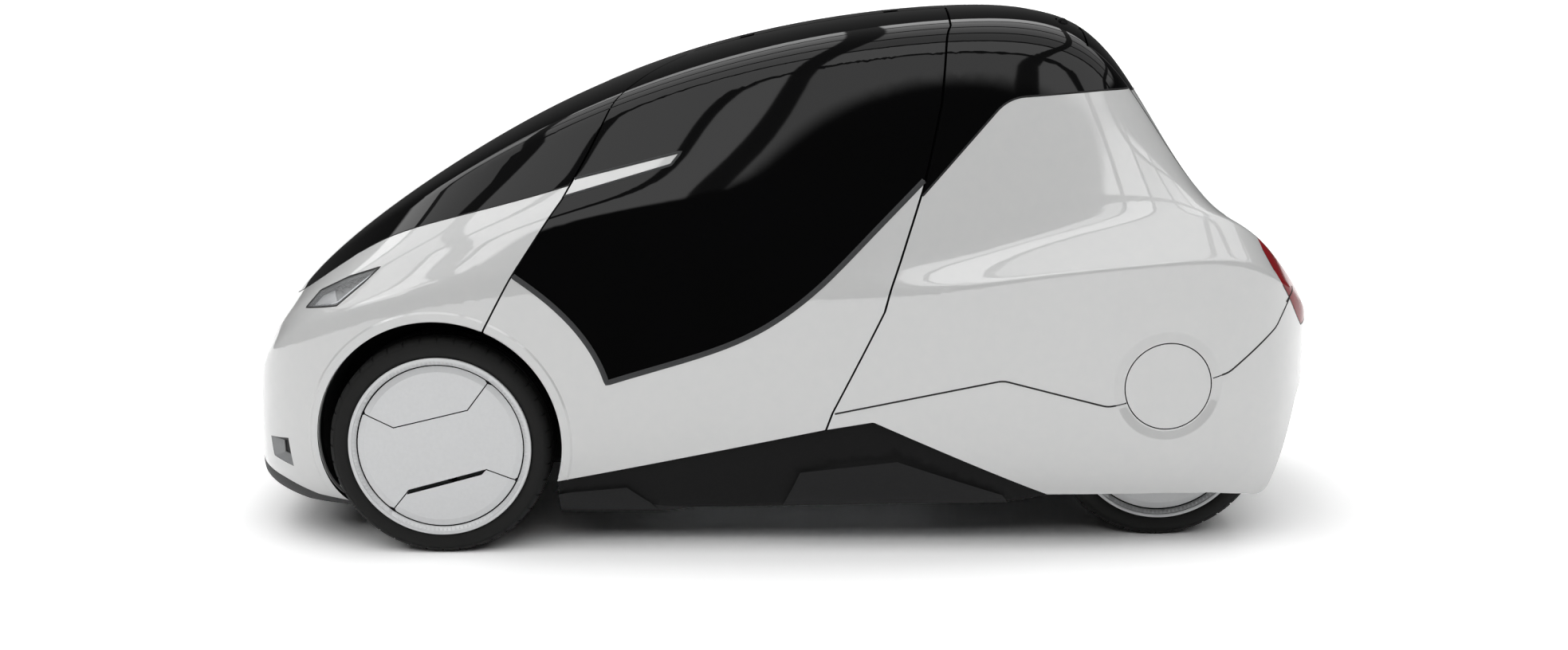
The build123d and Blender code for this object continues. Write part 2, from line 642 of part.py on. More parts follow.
with BuildPart() as jack_sockets:
    with BuildSketch(Plane.XY.offset(FLOOR_Z)):
        with GridLocations(2 * JACK_X, 2 * JACK_Y, 2, 2):
            Circle(JACK_BOSS)
    extrude(amount=-JACK_BOSS_HEIGHT)
    with BuildSketch(Plane.XY.offset(FLOOR_Z - JACK_BOSS_HEIGHT)):
        with GridLocations(2 * JACK_X, 2 * JACK_Y, 2, 2):
            Circle(JACK_BORE / 2)
    extrude(amount=JACK_DEPTH, mode=Mode.SUBTRACT)
jack_sockets.part.label = "jack_sockets"

with BuildPart() as battery_pack:
    add(slab(BATTERY_FRONT, BATTERY_REAR, -BATTERY_HALF, BATTERY_HALF, FLOOR_Z - BATTERY_HEIGHT, FLOOR_Z))
battery_pack.part.label = "battery_pack"


def seat(profile):
    """Seat with its foot on the floor, from its side-view profile."""
    with BuildPart() as piece:
        with BuildSketch(Plane.XZ):
            with BuildLine():
                Polyline(*profile, close=True)
            make_face()
        extrude(amount=SEAT_WIDTH / 2, both=True)
        edges = piece.edges().filter_by(Axis.Y)
        upper = [edge for edge in edges if edge.center().Z > FLOOR_Z + 2 * FLOOR_THICKNESS]
        fillet(upper, radius=SEAT_ROUND)
    return piece.part


with BuildPart() as front_seat:
    add(seat(FRONT_SEAT))
front_seat.part.label = "front_seat"

with BuildPart() as rear_seat:
    add(seat(REAR_SEAT))
rear_seat.part.label = "rear_seat"

steering_axis = Vector(cos(radians(STEERING_TILT)), 0, sin(radians(STEERING_TILT)))
steering_plane = Plane((STEERING_X, 0, STEERING_Z), x_dir=(0, 1, 0), z_dir=steering_axis)
with BuildPart() as dashboard:
    with BuildSketch(Plane.XZ):
        with BuildLine():
            Polyline(*DASHBOARD, close=True)
        make_face()
    extrude(amount=DASH_WIDTH / 2, both=True)
    with BuildSketch(steering_plane):
        Circle(COLUMN_RADIUS + RUNNING_FIT)
    extrude(amount=-COLUMN_LENGTH - HUB_GAP, mode=Mode.SUBTRACT)
dashboard.part.label = "dashboard"

with BuildPart() as steering_wheel:
    with BuildSketch(steering_plane):
        Circle(COLUMN_RADIUS)
    extrude(amount=-COLUMN_LENGTH)
    with BuildSketch(steering_plane):
        Circle(STEERING_HUB)
        Rectangle(2 * STEERING_RADIUS, STEERING_SPOKE)
    extrude(amount=STEERING_GRIP)
    with BuildSketch(Plane(steering_plane.origin, x_dir=steering_plane.x_dir, z_dir=steering_plane.y_dir)):
        with Locations((STEERING_RADIUS, -STEERING_GRIP / 2)):
            Circle(STEERING_GRIP)
    revolve(axis=Axis(steering_plane.origin, steering_plane.z_dir))
steering_wheel.part.label = "steering_wheel"

# Front suspension: a cross beam on the floor, with an upper and a lower wishbone each side
axle_z = WHEEL_RADIUS
kingpin_y = FRONT_TRACK_HALF - KINGPIN_INSET
eye_levels = (axle_z - KINGPIN_HALF, axle_z + KINGPIN_HALF - EYE_HEIGHT)
floor_top = FLOOR_Z + FLOOR_THICKNESS
with BuildPart() as front_suspension:
    half = SUBFRAME_LENGTH / 2
    top = eye_levels[1] + EYE_HEIGHT
    add(slab(FRONT_AXLE_X - half, FRONT_AXLE_X + half, -SUBFRAME_HALF, SUBFRAME_HALF, floor_top, top))
    for level in eye_levels:
        with BuildSketch(Plane.XY.offset(level)):
            with BuildLine():
                near = SUBFRAME_HALF
                tip = WISHBONE_WIDTH / 2
                points = [
                    (FRONT_AXLE_X - half, near), (FRONT_AXLE_X + half, near),
                    (FRONT_AXLE_X + tip, kingpin_y), (FRONT_AXLE_X - tip, kingpin_y),
                ]
                Polyline(*points, close=True)
            make_face()
            with Locations((FRONT_AXLE_X, kingpin_y)):
                Circle(EYE_RADIUS)
                Circle(KINGPIN_RADIUS + RUNNING_FIT, mode=Mode.SUBTRACT)
            mirror(about=Plane.XZ)
        extrude(amount=EYE_HEIGHT)
front_suspension.part.label = "front_suspension"

with BuildPart() as knuckle_left:
    with BuildSketch(Plane.XY.offset(axle_z - KINGPIN_HALF)):
        with Locations((FRONT_AXLE_X, -kingpin_y)):
            Circle(KINGPIN_RADIUS)
    extrude(amount=2 * KINGPIN_HALF)
    low = eye_levels[0] + EYE_HEIGHT + HUB_GAP
    high = eye_levels[1] - HUB_GAP
    with BuildSketch(Plane.XY.offset(low)):
        with Locations((FRONT_AXLE_X, -kingpin_y)):
            Rectangle(UPRIGHT_WIDTH, UPRIGHT_DEPTH)
    extrude(amount=high - low)
    with BuildSketch(Plane.XZ.offset(kingpin_y)):
        with Locations((FRONT_AXLE_X, axle_z)):
            Circle(SPINDLE_RADIUS)
    extrude(amount=KINGPIN_INSET + SPINDLE_LENGTH)
knuckle_left.part.label = "knuckle_left"

with BuildPart() as knuckle_right:
    add(mirrored(knuckle_left.part))
knuckle_right.part.label = "knuckle_right"

# Rear axle: a pivot bar on the floor, two trailing arms, and the tubes either side of the drive unit
with BuildPart() as rear_axle:
    tube_end = REAR_TRACK_HALF - HUB_GAP
    with BuildSketch(Plane.XZ.offset(DRIVE_HALF)):
        with Locations((REAR_AXLE_X, axle_z)):
            Circle(AXLE_TUBE_RADIUS)
    extrude(amount=tube_end - DRIVE_HALF)
    with BuildSketch(Plane.XZ.offset(tube_end)):
        with Locations((REAR_AXLE_X, axle_z)):
            Circle(SPINDLE_RADIUS)
    extrude(amount=HUB_GAP + SPINDLE_LENGTH)
    with BuildSketch(Plane.XZ.offset(TRAILING_ARM_Y - TRAILING_ARM_WIDTH / 2)):
        with BuildLine():
            arm = [
                (PIVOT_BAR_X, floor_top), (PIVOT_BAR_X, floor_top + PIVOT_BAR),
                (REAR_AXLE_X, axle_z + AXLE_TUBE_RADIUS), (REAR_AXLE_X, axle_z - AXLE_TUBE_RADIUS),
            ]
            Polyline(*arm, close=True)
        make_face()
    extrude(amount=TRAILING_ARM_WIDTH)
    mirror(about=Plane.XZ)
    reach = TRAILING_ARM_Y + TRAILING_ARM_WIDTH / 2
    add(slab(PIVOT_BAR_X - PIVOT_BAR, PIVOT_BAR_X, -reach, reach, floor_top, floor_top + PIVOT_BAR))
rear_axle.part.label = "rear_axle"

with BuildPart() as drive_unit:
    half = DRIVE_LENGTH / 2
    low = axle_z - DRIVE_HEIGHT / 2
    add(slab(REAR_AXLE_X - half, REAR_AXLE_X + half, -DRIVE_HALF, DRIVE_HALF, low, low + DRIVE_HEIGHT))
drive_unit.part.label = "drive_unit"

# Liners over the front wheels, out to the inside of the body
liner_radius = WHEEL_RADIUS + ARCH_GAP + LINER_GAP
with BuildPart() as arch_liners:
    with BuildSketch(Plane.XZ.offset(LINER_INNER)):
        with Locations((FRONT_AXLE_X, WHEEL_RADIUS + ARCH_RISE)):
            Circle(liner_radius + LINER_WALL)
            Circle(liner_radius, mode=Mode.SUBTRACT)
            with Locations((0, -liner_radius - LINER_DROP)):
                Rectangle(4 * liner_radius, 2 * liner_radius, mode=Mode.SUBTRACT)
    extrude(amount=REACH)
    with BuildSketch(Plane.XZ.offset(LINER_INNER - LINER_WALL)):
        with Locations((FRONT_AXLE_X, WHEEL_RADIUS + ARCH_RISE)):
            Circle(liner_radius + LINER_WALL)
            with Locations((0, -liner_radius - LINER_DROP)):
                Rectangle(4 * liner_radius, 2 * liner_radius, mode=Mode.SUBTRACT)
            Rectangle(SUBFRAME_LENGTH + 2 * EYE_HEIGHT, 2 * WISHBONE_ROOM, mode=Mode.SUBTRACT)
    extrude(amount=LINER_WALL)
    mirror(about=Plane.XZ)
    add(inner, mode=Mode.INTERSECT)
    add(side_prism(SILL_PLATE), mode=Mode.SUBTRACT)
    for room in door_rooms:
        add(shell_piece(inner, door_back, [room]), mode=Mode.SUBTRACT)
arch_liners.part.label = "arch_liners"


def tyre():
    """Road tyre about the Y axis, with its outer side towards -Y."""
    half = TYRE_WIDTH / 2
    bead = RIM_RADIUS - RIM_LIP
    with BuildPart() as piece:
        with BuildSketch(Plane.XY):
            with BuildLine():
                outside = [
                    (bead, half - FLANGE), (RIM_RADIUS, half - FLANGE), (RIM_RADIUS + HEEL, half - HEEL),
                    (RIM_RADIUS + BULGE, half), (WHEEL_RADIUS - SHOULDER_DROP, half - SHOULDER_DROP),
                    (WHEEL_RADIUS, half - SHOULDER),
                ]
                Polyline(*outside, *[(r, -y) for r, y in reversed(outside)], close=True)
            make_face()
        revolve(axis=Axis.Y)
    return piece.part


def wheel():
    """Rim with its closed cover and hub about the Y axis, with its outer side towards -Y."""
    half = TYRE_WIDTH / 2
    bead = RIM_RADIUS - RIM_LIP
    barrel = bead - RIM_WALL
    face = COVER_INSET - half
    cover_back = face + COVER_THICKNESS
    groove_floor = face + COVER_THICKNESS / 2
    hub_end = KINGPIN_INSET - UPRIGHT_DEPTH / 2 - HUB_GAP
    bore = SPINDLE_RADIUS + RUNNING_FIT
    bore_end = -SPINDLE_LENGTH - HUB_GAP
    with BuildPart() as piece:
        with BuildSketch(Plane.XY):
            with BuildLine():
                Polyline(
                    (RIM_RADIUS, -half), (RIM_RADIUS, FLANGE - half), (bead, FLANGE - half),
                    (bead, half - FLANGE), (RIM_RADIUS, half - FLANGE), (RIM_RADIUS, half), (barrel, half),
                    (barrel, cover_back), (HUB_RADIUS, cover_back), (HUB_RADIUS, hub_end),
                    (bore, hub_end), (bore, bore_end), (0, bore_end), (0, face - COVER_CROWN),
                    (barrel - COVER_EDGE, face), (barrel - COVER_GROOVE, face + COVER_CROWN),
                    (barrel - COVER_GROOVE, groove_floor), (barrel, groove_floor), (barrel, -half),
                    close=True,
                )
            make_face()
        revolve(axis=Axis.Y)
        with BuildSketch(Plane.XZ.offset(-face - COVER_LINE_DEPTH)):
            for line in COVER_LINES:
                with BuildLine():
                    Polyline(*line)
                trace(line_width=COVER_LINE_WIDTH)
        extrude(amount=half, mode=Mode.SUBTRACT)
        with BuildSketch(Plane.XZ.offset(-face - 2 * COVER_THICKNESS)):
            with BuildLine():
                Polyline(*COVER_SLOT, close=True)
            make_face()
        extrude(amount=half, mode=Mode.SUBTRACT)
    return piece.part


WHEELS = [
    ("front_left", FRONT_AXLE_X, -FRONT_TRACK_HALF),
    ("front_right", FRONT_AXLE_X, FRONT_TRACK_HALF),
    ("rear_left", REAR_AXLE_X, -REAR_TRACK_HALF),
    ("rear_right", REAR_AXLE_X, REAR_TRACK_HALF),
]
left_tyre = tyre()
left_wheel = wheel()
road_wheels = []
for corner, x, y in WHEELS:
    spot = Location((x, y, axle_z))
    with BuildPart() as corner_tyre:
        add((left_tyre if y < 0 else mirrored(left_tyre)).moved(spot))
    corner_tyre.part.label = f"tyre_{corner}"
    with BuildPart() as corner_wheel:
        add((left_wheel if y < 0 else mirrored(left_wheel)).moved(spot))
    corner_wheel.part.label = f"wheel_{corner}"
    road_wheels += [corner_tyre, corner_wheel]

pieces = [
    floor_pan, jack_sockets, battery_pack, front_body, front_splitter, headlamps, windscreen, canopy_skin,
    cabin_frame, rear_body, rear_skirt, side_discs, tail_lamps, side_sills, arch_liners, front_suspension,
    rear_axle, drive_unit, front_seat, rear_seat, dashboard, steering_wheel, knuckle_left, knuckle_right,
    door_panel_left, door_glass_left, door_blade_left, door_panel_right, door_glass_right, door_blade_right,
    hatch_panel, hatch_glass, *road_wheels,
]
os.makedirs("parts", exist_ok=True)
for piece in pieces:
    export_step(piece.part, f"parts/{piece.part.label}.step")
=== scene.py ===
"""Electric city car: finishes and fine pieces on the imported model."""
import math
from collections import namedtuple

import bmesh
import bpy
import numpy as np
from mathutils import Matrix, Vector
from mathutils.bvhtree import BVHTree
from mathutils.kdtree import KDTree


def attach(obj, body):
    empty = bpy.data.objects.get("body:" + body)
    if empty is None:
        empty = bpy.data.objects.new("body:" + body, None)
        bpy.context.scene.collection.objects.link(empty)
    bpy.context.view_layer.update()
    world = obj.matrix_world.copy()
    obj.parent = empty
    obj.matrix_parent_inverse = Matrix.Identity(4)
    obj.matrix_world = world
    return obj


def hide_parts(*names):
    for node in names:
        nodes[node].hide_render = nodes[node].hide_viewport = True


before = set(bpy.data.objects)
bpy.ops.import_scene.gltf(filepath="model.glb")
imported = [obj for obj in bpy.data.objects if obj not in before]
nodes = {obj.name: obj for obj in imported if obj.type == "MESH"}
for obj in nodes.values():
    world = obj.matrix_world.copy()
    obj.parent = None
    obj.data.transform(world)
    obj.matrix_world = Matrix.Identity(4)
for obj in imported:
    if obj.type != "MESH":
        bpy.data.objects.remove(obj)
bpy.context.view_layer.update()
scene = bpy.context.scene
MM = 0.001

# Photograph: 1967 x 816 pixels, taken from the car's left side
PHOTO_WIDTH = 1967
FOCAL_PIXELS = 2235
CAMERA_ELEVATION = math.radians(12.0)
CAMERA_DISTANCE = 5.15
CAMERA_TARGET = Vector((0.0, 0.0, 0.493))
SENSOR_WIDTH = 36.0

# Half sections of the outer skin, nose to tail, in millimetres: widest line, flank crease,
# shelf above it, cant rail, crown and lower edge. The panels take their smooth normals from it.
Station = namedtuple("Station", "x wide crease_y crease_z shelf_y shelf_z cant_y cant_z crown_z base_y edge")
STATIONS = [
    Station(-1450, 40, 36, 345, 30, 370, 20, 385, 392, 25, 0),
    Station(-1450, 215, 200, 345, 170, 370, 110, 385, 392, 140, 0),
    Station(-1432, 340, 320, 400, 270, 432, 180, 452, 462, 230, 0),
    Station(-1380, 460, 435, 500, 370, 545, 245, 575, 590, 335, 0),
    Station(-1270, 545, 522, 590, 448, 655, 290, 710, 730, 430, 0),
    Station(-1090, 590, 575, 655, 505, 745, 330, 842, 868, 490, 0),
    Station(-880, 606, 592, 705, 540, 820, 365, 972, 1006, 510, 0),
    Station(-560, 606, 596, 730, 555, 900, 400, 1135, 1182, 515, 0),
    Station(-130, 604, 592, 700, 548, 905, 412, 1275, 1328, 515, 0),
    Station(300, 602, 590, 690, 572, 745, 395, 1345, 1398, 515, 0.55),
    Station(640, 602, 592, 745, 525, 822, 355, 1355, 1412, 510, 0.85),
    Station(845, 600, 590, 766, 498, 865, 335, 1290, 1362, 505, 0.95),
    Station(990, 594, 580, 778, 482, 890, 312, 1080, 1135, 500, 0.95),
    Station(1140, 570, 552, 784, 458, 890, 290, 880, 876, 480, 0.9),
    Station(1260, 525, 505, 748, 415, 815, 260, 818, 818, 440, 0.7),
    Station(1362, 435, 420, 660, 345, 690, 220, 697, 700, 365, 0.4),
    Station(1450, 250, 240, 560, 195, 580, 125, 588, 590, 200, 0),
    Station(1450, 40, 36, 560, 30, 580, 20, 588, 590, 25, 0),
]
# Places of the points beside the crease and the shelf, as shares (y, z) of the way: soft, then sharp
UNDER_CREASE = [(0.70, 0.88), (0.97, 0.985)]
OVER_CREASE = [(0.30, 0.35), (0.05, 0.05)]
UNDER_SHELF = [(0.85, 0.80), (0.96, 0.96)]
OVER_SHELF = [(0.10, 0.12), (0.03, 0.04)]
HULL_BOTTOM = 100
HULL_ROWS = 400
HULL_COLUMNS = 640
SKIN_TOLERANCE = 2.5 * MM


def linear(hex_colour, alpha=1.0):
    """Linear RGBA of an sRGB hex colour."""
    parts = [int(hex_colour[i:i + 2], 16) / 255 for i in (1, 3, 5)]
    return (*[c / 12.92 if c <= 0.04045 else ((c + 0.055) / 1.055) ** 2.4 for c in parts], alpha)


# Outer skin


def between(start, end, share):
    """Value at a share of the way from start to end."""
    return start + (end - start) * share


def section_points(s):
    """Control points of one whole section, over the crown from the left foot to the right."""
    under, over, up, past = (
        [between(soft, sharp, s.edge) for soft, sharp in zip(*pair)]
        for pair in (UNDER_CREASE, OVER_CREASE, UNDER_SHELF, OVER_SHELF)
    )
    half = [
        (s.base_y, HULL_BOTTOM),
        (between(s.base_y, s.wide, 0.75), between(HULL_BOTTOM, s.crease_z, 0.10)),
        (s.wide, between(HULL_BOTTOM, s.crease_z, 0.32)),
        (s.wide, between(HULL_BOTTOM, s.crease_z, 0.62)),
        (between(s.wide, s.crease_y, under[0]), between(HULL_BOTTOM, s.crease_z, under[1])),
        (s.crease_y, s.crease_z),
        (between(s.crease_y, s.shelf_y, over[0]), between(s.crease_z, s.shelf_z, over[1])),
        (between(s.crease_y, s.shelf_y, up[0]), between(s.crease_z, s.shelf_z, up[1])),
        (between(s.shelf_y, s.cant_y, past[0]), between(s.shelf_z, s.cant_z, past[1])),
        (between(s.shelf_y, s.cant_y, 0.50), between(s.shelf_z, s.cant_z, 0.52)),
        (between(s.shelf_y, s.cant_y, 0.88), between(s.shelf_z, s.cant_z, 0.88)),
        (s.cant_y * 0.98, between(s.cant_z, s.crown_z, 0.12)),
        (s.cant_y * 0.72, between(s.cant_z, s.crown_z, 0.72)),
        (s.cant_y * 0.36, s.crown_z),
    ]
    left = [(s.x, -y, z) for y, z in half]
    right = [(s.x, y, z) for y, z in reversed(half)]
    return [*left, (s.x, 0, s.crown_z), *right]


def spline_weights(count, samples):
    """Rows of clamped cubic B-spline weights for evenly spaced samples."""
    knots = np.concatenate([np.zeros(3), np.linspace(0, 1, count - 2), np.ones(3)])
    t = np.linspace(0, 1, samples)
    t[-1] = 1 - 1e-12
    weights = [((knots[i] <= t) & (t < knots[i + 1])).astype(float) for i in range(len(knots) - 1)]
    for degree in range(1, 4):
        level = []
        for i in range(len(knots) - degree - 1):
            total = np.zeros_like(t)
            if knots[i + degree] > knots[i]:
                total += (t - knots[i]) / (knots[i + degree] - knots[i]) * weights[i]
            if knots[i + degree + 1] > knots[i + 1]:
                total += (knots[i + degree + 1] - t) / (knots[i + degree + 1] - knots[i + 1]) * weights[i + 1]
            level.append(total)
        weights = level
    return np.array(weights).T


class Skin:
    """The body's outer skin as a dense grid, for smooth normals and for placing trim on it."""

    def __init__(self):
        net = np.array([section_points(s) for s in STATIONS], float) * MM
        along = spline_weights(net.shape[0], HULL_ROWS)
        round_ = spline_weights(net.shape[1], HULL_COLUMNS)
        self.points = np.einsum("ui,ijk,vj->uvk", along, net, round_)
        d_along = np.gradient(self.points, axis=0)
        d_round = np.gradient(self.points, axis=1)
        normals = np.cross(d_along, d_round)
        normals /= np.maximum(np.linalg.norm(normals, axis=2, keepdims=True), 1e-12)
        centre = np.array([0.0, 0.0, 0.5])
        inward = np.sum(normals * (self.points - centre), axis=2) < 0
        if inward.mean() > 0.5:
            normals = -normals
        self.normals = normals.reshape(-1, 3)
        index = np.arange(HULL_ROWS * HULL_COLUMNS).reshape(HULL_ROWS, HULL_COLUMNS)
        corners = index[:-1, :-1], index[1:, :-1], index[1:, 1:], index[:-1, 1:]
        a, b, c, d = (corner.ravel() for corner in corners)
        self.triangles = np.concatenate([np.stack([a, b, c], 1), np.stack([a, c, d], 1)])
        self.flat = self.points.reshape(-1, 3)
        self.tree = BVHTree.FromPolygons(self.flat.tolist(), self.triangles.tolist())

    def normal_at(self, place, triangle):
        """Skin normal at a place on one of the grid's triangles."""
        corners = self.flat[self.triangles[triangle]]
        edge_1, edge_2, arm = corners[1] - corners[0], corners[2] - corners[0], np.array(place) - corners[0]
        d11, d12, d22 = edge_1 @ edge_1, edge_1 @ edge_2, edge_2 @ edge_2
        a1, a2 = arm @ edge_1, arm @ edge_2
        scale = d11 * d22 - d12 * d12
        if scale < 1e-18:
            weights = np.ones(3) / 3
        else:
            second = (d22 * a1 - d12 * a2) / scale
            third = (d11 * a2 - d12 * a1) / scale
            weights = np.array([1 - second - third, second, third])
        normal = weights @ self.normals[self.triangles[triangle]]
        return normal / np.linalg.norm(normal)

    def near(self, place):
        """Normal and distance of the skin nearest to a place."""
        spot, _, triangle, distance = self.tree.find_nearest(place)
        return self.normal_at(spot, triangle), distance

    def from_side(self, x, z, side):
        """Place and normal on the flank at (x, z), side -1 for the car's left and 1 for its right."""
        spot, _, triangle, _ = self.tree.ray_cast(Vector((x, 2.0 * side, z)), Vector((0, -side, 0)))
        if spot is None:
            return None
        return np.array(spot), self.normal_at(spot, triangle)


skin = Skin()


# Finishes


def add(tree, kind, sockets=None, **settings):
    """One node with its settings; each socket takes a value, or a link from another node's output."""
    node = tree.nodes.new(kind)
    for name, value in settings.items():
        setattr(node, name, value)
    for name, value in (sockets or {}).items():
        if isinstance(value, bpy.types.NodeSocket):
            tree.links.new(value, node.inputs[name])
        else:
            node.inputs[name].default_value = value
    return node


def finish(name, base, shade, rough, grain_mm, depth_mm, **sockets):
    """Surface with two close tones, a roughness range and a fine relief, all from one grain."""
    material = bpy.data.materials.new(name)
    material.use_nodes = True
    tree = material.node_tree
    tree.nodes.clear()
    place = add(tree, "ShaderNodeTexCoord").outputs["Object"]
    grain = add(tree, "ShaderNodeTexNoise", {"Vector": place, "Scale": 1 / (grain_mm * MM), "Detail": 3.0})
    amount = grain.outputs["Fac"]
    tone = add(tree, "ShaderNodeMix", {0: amount, 6: linear(base), 7: linear(shade)}, data_type="RGBA")
    gloss = add(tree, "ShaderNodeMapRange", {"Value": amount, "To Min": rough[0], "To Max": rough[1]})
    relief = add(tree, "ShaderNodeBump", {"Height": amount, "Distance": depth_mm * MM})
    shader = add(tree, "ShaderNodeBsdfPrincipled", {
        "Base Color": tone.outputs[2], "Roughness": gloss.outputs[0], "Normal": relief.outputs[0],
        **{socket.replace("_", " "): value for socket, value in sockets.items()},
    })
    add(tree, "ShaderNodeOutputMaterial", {"Surface": shader.outputs[0]})
    return material


# White enamel under clear lacquer: deep gloss, and a faint ripple of the lacquer,
# drawn 30 mm long because the real 3 mm ripple is too fine to show.
white_paint = finish("white_enamel", "#E0E0DF", "#DADBDB", (0.30, 0.36), 30, 0.02,
                     Coat_Weight=1.0, Coat_Roughness=0.03, Coat_IOR=1.8)
# Privacy glass, tinted nearly black: a mirror-smooth face with slow waves from the bending.
dark_glass = finish("tinted_glass", "#030303", "#050506", (0.02, 0.04), 220, 0.01, Specular_IOR_Level=0.30)
# Black moulded plastic with a fine sandy grain, drawn 4 mm wide to show.
grained_plastic = finish("grained_polypropylene", "#303031", "#1E1E1F", (0.55, 0.75), 4, 0.5)
# Smooth satin black plastic of frames and bezels.
satin_plastic = finish("satin_black_abs", "#101011", "#161617", (0.38, 0.50), 12, 0.03,
                       Specular_IOR_Level=0.25)
# Black sill cladding, moulded smoother than the splitter.
sill_plastic = finish("sill_cladding", "#1A1A1B", "#151516", (0.45, 0.60), 6, 0.10, Specular_IOR_Level=0.2)
# Sill plastic painted a deeper black behind its raised pods, as painted shade in the recess.
sill_recess_shade = finish("sill_recess_shade", "#0C0C0D", "#090909", (0.5, 0.65), 6, 0.10, Specular_IOR_Level=0.15)
# Shadow-black sealer in the seams between fixed panels.
seam_black = finish("seam_sealer", "#0A0A0A", "#101010", (0.6, 0.8), 6, 0.02)
# Felt of the wheel-arch liners: black and dull.
liner_felt = finish("liner_felt", "#0B0B0B", "#121212", (0.9, 1.0), 3, 0.6)
# Window seal of grey rubber, matt.
seal_rubber = finish("seal_rubber", "#3A3B3C", "#303132", (0.6, 0.75), 5, 0.05)
# Tyre rubber: dull black with a bloom that turns it brown-grey in patches.
tyre_rubber = finish("tyre_rubber", "#171717", "#1E1E1D", (0.62, 0.80), 14, 0.25, Specular_IOR_Level=0.25)
# Silver lacquer over a moulded wheel cover, a soft metallic sheen.
wheel_silver = finish("silver_lacquer", "#E4E5E6", "#DCDDDE", (0.32, 0.40), 9, 0.02,
                      Metallic=0.1, Coat_Weight=0.6, Coat_Roughness=0.12)
# Steel under black electro-coat, slightly pitted.
coated_steel = finish("electrocoated_steel", "#1D1F21", "#26282A", (0.42, 0.58), 8, 0.15, Metallic=0.2)
# Cast aluminium housing with the sand grain of its mould.
cast_aluminium = finish("cast_aluminium", "#9A9C9D", "#86888A", (0.45, 0.62), 5, 0.3, Metallic=0.9)
# Dashboard and inner trim, soft-touch charcoal plastic.
soft_trim = finish("soft_touch_trim", "#2B2C2E", "#333436", (0.62, 0.78), 3, 0.25)
# Clear polycarbonate over the headlamp.
clear_lens = finish("clear_polycarbonate", "#F6F8FA", "#F4F6F8", (0.02, 0.04), 60, 0.01,
                    Alpha=0.12, Specular_IOR_Level=1.0)
# Red acrylic of the tail lamp, dyed right through.
red_lens = finish("red_acrylic", "#96161B", "#86131A", (0.10, 0.16), 40, 0.02, Specular_IOR_Level=0.12)
# Vapour-deposited aluminium of the reflectors.
bright_reflector = finish("bright_reflector", "#D9DCDF", "#C9CCD0", (0.12, 0.20), 20, 0.02, Metallic=1.0)
# Frame of the headlamp, dark grey satin.
lamp_frame = finish("lamp_frame_abs", "#262627", "#2E2E2F", (0.35, 0.45), 15, 0.02)
# Floor of the headlamp, mid-grey satin.
lamp_grey = finish("lamp_floor_abs", "#9A9B9C", "#909192", (0.35, 0.45), 15, 0.02)
# Pale lacquered reflector at the front of the headlamp.
pale_reflector = finish("pale_reflector", "#DADBDC", "#CFD0D2", (0.18, 0.26), 20, 0.02, Metallic=0.3)
# Seat cover of woven cloth.
seat_cloth = finish("woven_seat_cloth", "#3A3C40", "#2C2E31", (0.8, 0.95), 4, 0.4, Sheen_Weight=0.3)

# Pieces

SHARP = math.radians(30)
MERGE_REACH = 1e-5
# A face shows the outer finish where it turns the same way as the skin: least cosine between the two
SAME_WAY = 0.6
# The glass is shaded as if it leaned in, so that its foot doesn't mirror the floor:
# upward part of its normals, before and after
LEAN_FROM, LEAN_TO = (-0.10, 0.30, 1.0), (0.15, 0.31, 1.0)
FENCE_STEP, BEAD_STEP = 2 * MM, 6 * MM
outlines = {}


def new_piece(name, mesh, finishes, body):
    """Object of a finished mesh that moves with a body and takes its colours from the finishes given."""
    piece = bpy.data.objects.new(name, mesh)
    scene.collection.objects.link(piece)
    mesh.materials.clear()
    for material in finishes:
        mesh.materials.append(material)
    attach(piece, body)
    return piece


def settle(work, mesh, angle=SHARP):
    """Write an edited mesh back, smooth between its creases."""
    work.to_mesh(mesh)
    work.free()
    mesh.shade_smooth()
    mesh.set_sharp_from_angle(angle=angle)
    return mesh


def merged(mesh):
    """A CAD mesh opened for editing, with its loose triangles joined."""
    work = bmesh.new()
    work.from_mesh(mesh)
    bmesh.ops.remove_doubles(work, verts=work.verts, dist=MERGE_REACH)
    return work


def new_mesh(name, points, faces, angle=SHARP):
    """Mesh of points in metres, with its faces turned outwards and smooth between its creases."""
    mesh = bpy.data.meshes.new(name)
    mesh.from_pydata([tuple(p) for p in points], [], faces)
    work = bmesh.new()
    work.from_mesh(mesh)
    bmesh.ops.remove_doubles(work, verts=work.verts, dist=1e-6)
    bmesh.ops.recalc_face_normals(work, faces=work.faces)
    return settle(work, mesh, angle)


def merged_copy(node):
    """A CAD node's mesh with its triangles joined and smooth between its creases."""
    mesh = nodes[node].data.copy()
    return settle(merged(mesh), mesh)


def mesh_points(mesh):
    """Vertex places of a mesh as an array."""
    flat = np.zeros(len(mesh.vertices) * 3)
    mesh.vertices.foreach_get("co", flat)
    return flat.reshape(-1, 3)


def evaluated_mesh(holder):
    """Plain mesh of an object with its modifiers applied."""
    ready = holder.evaluated_get(bpy.context.evaluated_depsgraph_get())
    return bpy.data.meshes.new_from_object(ready)


def bands(base, sections, size, closed=False):
    """Faces between each section of a run and the next, where every section is a ring of points."""
    faces = []
    for i in range(sections if closed else sections - 1):
        near, far = base + i * size, base + (i + 1) % sections * size
        faces += [(near + j, near + (j + 1) % size, far + (j + 1) % size, far + j) for j in range(size)]
    return faces


def end_faces(base, sections, size):
    """Faces that close the two ends of a run of sections."""
    last = base + (sections - 1) * size
    return [tuple(range(base, base + size)), tuple(reversed(range(last, last + size)))]


